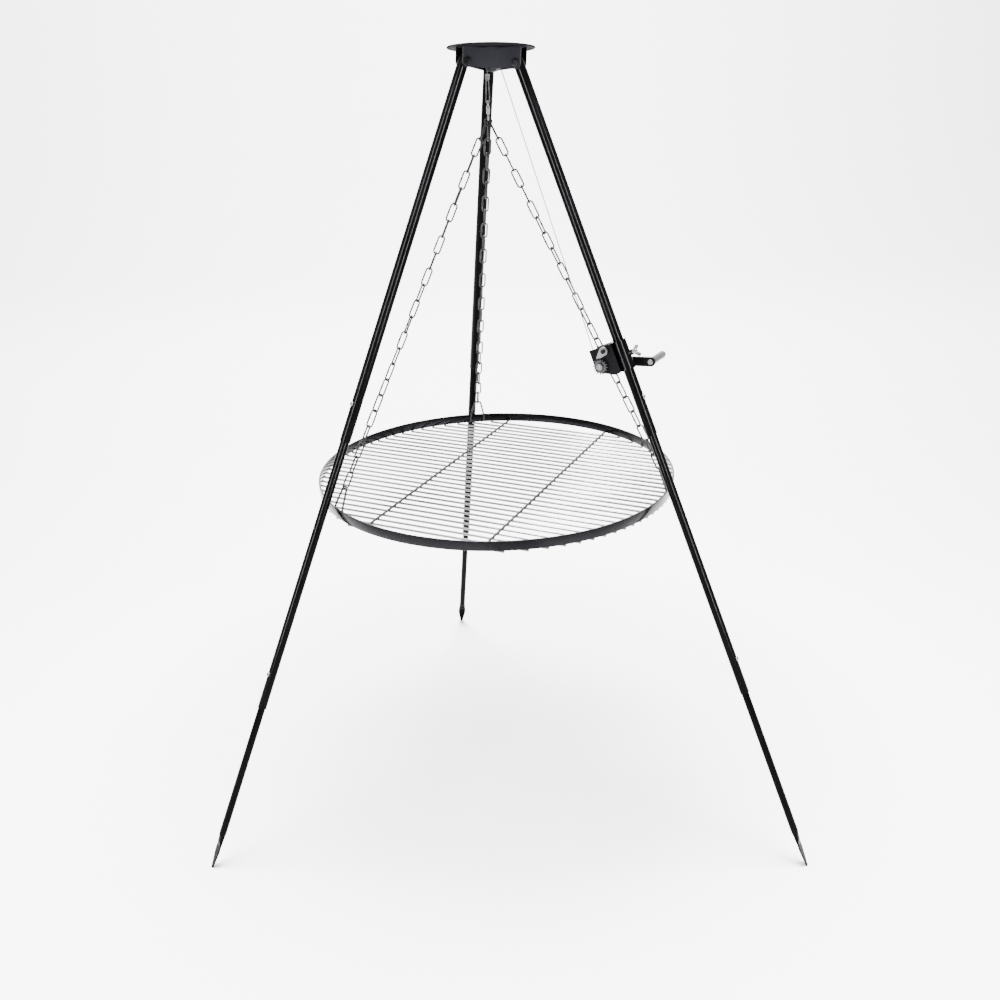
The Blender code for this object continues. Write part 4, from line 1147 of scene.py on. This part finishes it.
def make_rods(maker, turn, radius, rod_z, weld_z, crossing_z):
    """The parallel rods; gives the beads at their ends and at their crossings with the bars."""
    reach = radius - 0.0015
    azimuth = RAD(ROD_AZIMUTH)
    rods = []
    beads = []
    for i in range(ROD_COUNT):
        y = (i - (ROD_COUNT - 1) / 2) * ROD_PITCH
        half = math.sqrt(reach ** 2 - y ** 2)
        rods.append(rounded_bar("rod", turn @ Vector((-half, y, rod_z)),
                                turn @ Vector((half, y, rod_z))))
        for side in (-1, 1):
            at = turn @ Vector((side * (half - 0.0035), y, weld_z))
            beads.append(bead(at, ROD_BEAD, azimuth))
            if half > CROSS_BAR_OFFSET:
                at = turn @ Vector((side * CROSS_BAR_OFFSET, y, crossing_z))
                beads.append(bead(at, CROSSING_BEAD, azimuth))
    maker.stand_in("grate_rods", merged("grate_rods_fine", rods), "rods", 60)
    return beads


def make_cross_bars(maker, turn, radius, bar_z):
    """The two bars over the rods; gives the beads at their ends."""
    inside = radius - RIM_THICKNESS - GAP * 3
    bars = []
    beads = []
    for x in (-CROSS_BAR_OFFSET, CROSS_BAR_OFFSET):
        half = math.sqrt((inside - 0.001) ** 2 - (abs(x) + ROD_RADIUS) ** 2)
        bars.append(rounded_bar("bar", turn @ Vector((x, -half, bar_z)),
                                turn @ Vector((x, half, bar_z))))
        for side in (-1, 1):
            at = turn @ Vector((x, side * (half - 0.0015), bar_z))
            beads.append(bead(at, BAR_BEAD, RAD(ROD_AZIMUTH)))
    maker.add("cross_bars", merged("cross_bars", bars), "bars", "grate", sharp=60)
    return beads


def make_grid(maker):
    """Parallel rods under the rim, two cross bars over them, and every weld."""
    centre, radius, rim_low, _ = rim_place()
    low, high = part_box("grate_rods")
    rod_z = low[2] + ROD_RADIUS
    bar_z = high[2] - ROD_RADIUS
    turn = Matrix.Translation((centre.x, centre.y, 0)) @ Matrix.Rotation(RAD(ROD_AZIMUTH), 4, "Z")
    beads = make_rods(maker, turn, radius, rod_z, rim_low - 0.0002, (rod_z + bar_z) / 2)
    beads += make_cross_bars(maker, turn, radius, bar_z)
    maker.add("grate_welds", merged("grate_welds", beads), "weld", "grate", sharp=80)


# ---- crank grip
def grip_profile(length):
    """Outline from the domed end down to the soft foot and up into the bore."""
    dome = [(GRIP_RADIUS * math.sin(RAD(a)), length - GRIP_DOME * (1 - math.cos(RAD(a))))
            for a in range(10, 91, 10)]
    body = [(GRIP_RADIUS * 0.985, length * 0.5), (GRIP_RADIUS, 0.010), (GRIP_RADIUS, 0.0022),
            (GRIP_RADIUS - 0.0006, 0.0006), (GRIP_RADIUS - 0.0015, 0)]
    bore = [(GRIP_BORE, 0), (GRIP_BORE, length - GRIP_WALL), (0, length - GRIP_WALL)]
    return [(0, length)] + dome + body + bore


def make_grip(maker):
    """Moulded grip with a domed end and a soft foot."""
    centre, axis = maker.joint_line("grip_spin")
    first, last = reach_along(maker.frame, "crank_grip", axis)
    base = centre + axis * (first - centre.dot(axis))
    place = Matrix.Translation(base) @ turn_to(axis)
    mesh = turned("crank_grip_fine", grip_profile(last - first), 48, place)
    maker.stand_in("crank_grip", mesh, "grip", 40)


# ---- camera, light, floor
def add_camera():
    pitch = RAD(CAMERA_PITCH)
    yaw = RAD(CAMERA_YAW)
    roll = RAD(CAMERA_ROLL)
    ahead = Vector((math.sin(yaw) * math.cos(pitch), math.cos(yaw) * math.cos(pitch),
                    -math.sin(pitch)))
    right = Vector((math.cos(yaw), -math.sin(yaw), 0))
    up = right.cross(ahead)
    turned_right = right * math.cos(roll) + up * math.sin(roll)
    turned_up = up * math.cos(roll) - right * math.sin(roll)
    camera = add_object("camera", bpy.data.cameras.new("camera"))
    turn = Matrix((turned_right, turned_up, -ahead)).transposed().to_4x4()
    camera.matrix_world = Matrix.Translation(CAMERA_AT) @ turn
    camera.data.lens = CAMERA_LENS
    camera.data.sensor_width = CAMERA_SENSOR
    camera.data.clip_start = CAMERA_NEAR
    bpy.context.scene.camera = camera


def area_light(name, at, target, width, height, power):
    data = bpy.data.lights.new(name, "AREA")
    data.shape = "RECTANGLE"
    data.size = width
    data.size_y = height
    data.energy = power
    light = add_object(name, data)
    light.location = at
    light.rotation_euler = (Vector(target) - Vector(at)).to_track_quat("-Z", "Y").to_euler()
    return light


def add_world():
    world = bpy.data.worlds.new("studio")
    bpy.context.scene.world = world
    world.use_nodes = True
    shade = world.node_tree.nodes["Background"]
    shade.inputs["Color"].default_value = (1, 1, 1, 1)
    shade.inputs["Strength"].default_value = WORLD_STRENGTH


def floor_mesh():
    """Floor that sweeps up into a backdrop far behind."""
    bm = bmesh.new()
    profile = [(FLOOR_FRONT, 0.0), (FLOOR_BACK, 0.0)]
    profile += [(FLOOR_BACK + SWEEP_RADIUS * math.sin(RAD(a)),
                 SWEEP_RADIUS - SWEEP_RADIUS * math.cos(RAD(a))) for a in range(10, 91, 10)]
    profile.append((FLOOR_BACK + SWEEP_RADIUS, BACKDROP_TOP))
    rows = [[bm.verts.new((x, y, z)) for y, z in profile]
            for x in (-FLOOR_HALF_WIDTH, FLOOR_HALF_WIDTH)]
    for i in range(len(profile) - 1):
        bm.faces.new((rows[0][i], rows[1][i], rows[1][i + 1], rows[0][i + 1]))
    return mesh_of("studio_floor", bm)


def paper_material():
    """Pale paper with a painted soft round shadow under the tripod: its grey darkens towards the
    middle.
    """
    paper = node_material("studio_paper", (PAPER, PAPER, PAPER), 0.0, 0.9, 0.1)
    where = add_node(paper, "ShaderNodeTexCoord")
    shrink = add_node(paper, "ShaderNodeMapping")
    shrink.inputs["Scale"].default_value = (1 / PAINTED_SHADE_RADIUS,) * 3
    middle = add_node(paper, "ShaderNodeTexGradient", gradient_type="SPHERICAL")
    link(paper, where.outputs["Object"], shrink.inputs["Vector"])
    link(paper, shrink.outputs["Vector"], middle.inputs["Vector"])
    # painted shadow: the paper's colour darkens from the rim of the patch to its middle
    shade = ramp(paper, middle.outputs["Fac"], PAINTED_SHADE_STOPS)
    link(paper, shade, shader_of(paper).inputs["Base Color"])
    return paper


def add_stage():
    mesh = floor_mesh()
    mesh.shade_smooth()
    mesh.materials.append(paper_material())
    floor = add_object("studio_floor", mesh)


def add_lights():
    """Soft lights, and tall strips that only show as streaks in the gloss of some pieces."""
    for name, settings in AREA_LIGHTS.items():
        area_light(name, *settings)
    tubes = bpy.data.collections.new("glossy_tubes")
    for name in STREAKED:
        tubes.objects.link(bpy.data.objects[name + "_fine"])
    for name, settings in STRIP_LIGHTS.items():
        strip = area_light(name, *settings)
        strip.visible_diffuse = False
        strip.light_linking.receiver_collection = tubes


def main():
    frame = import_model()
    maker = Maker(frame, make_materials())
    make_legs(maker)
    make_bevelled(maker)
    make_disc(maker)
    make_bracket_welds(maker)
    make_hoist_rope(maker)
    make_pulley_rope(maker)
    make_load_rope(maker)
    make_rope_coil(maker)
    make_eye(maker)
    make_ferrule(maker)
    make_hook(maker)
    make_ring(maker)
    rim_centre = rim_place()[0]
    for leg in LEGS:
        make_chain(maker, leg)
        make_hanger(maker, leg, rim_centre)
    make_rim(maker)
    make_grid(maker)
    make_grip(maker)
    add_camera()
    add_world()
    add_stage()
    add_lights()


main()
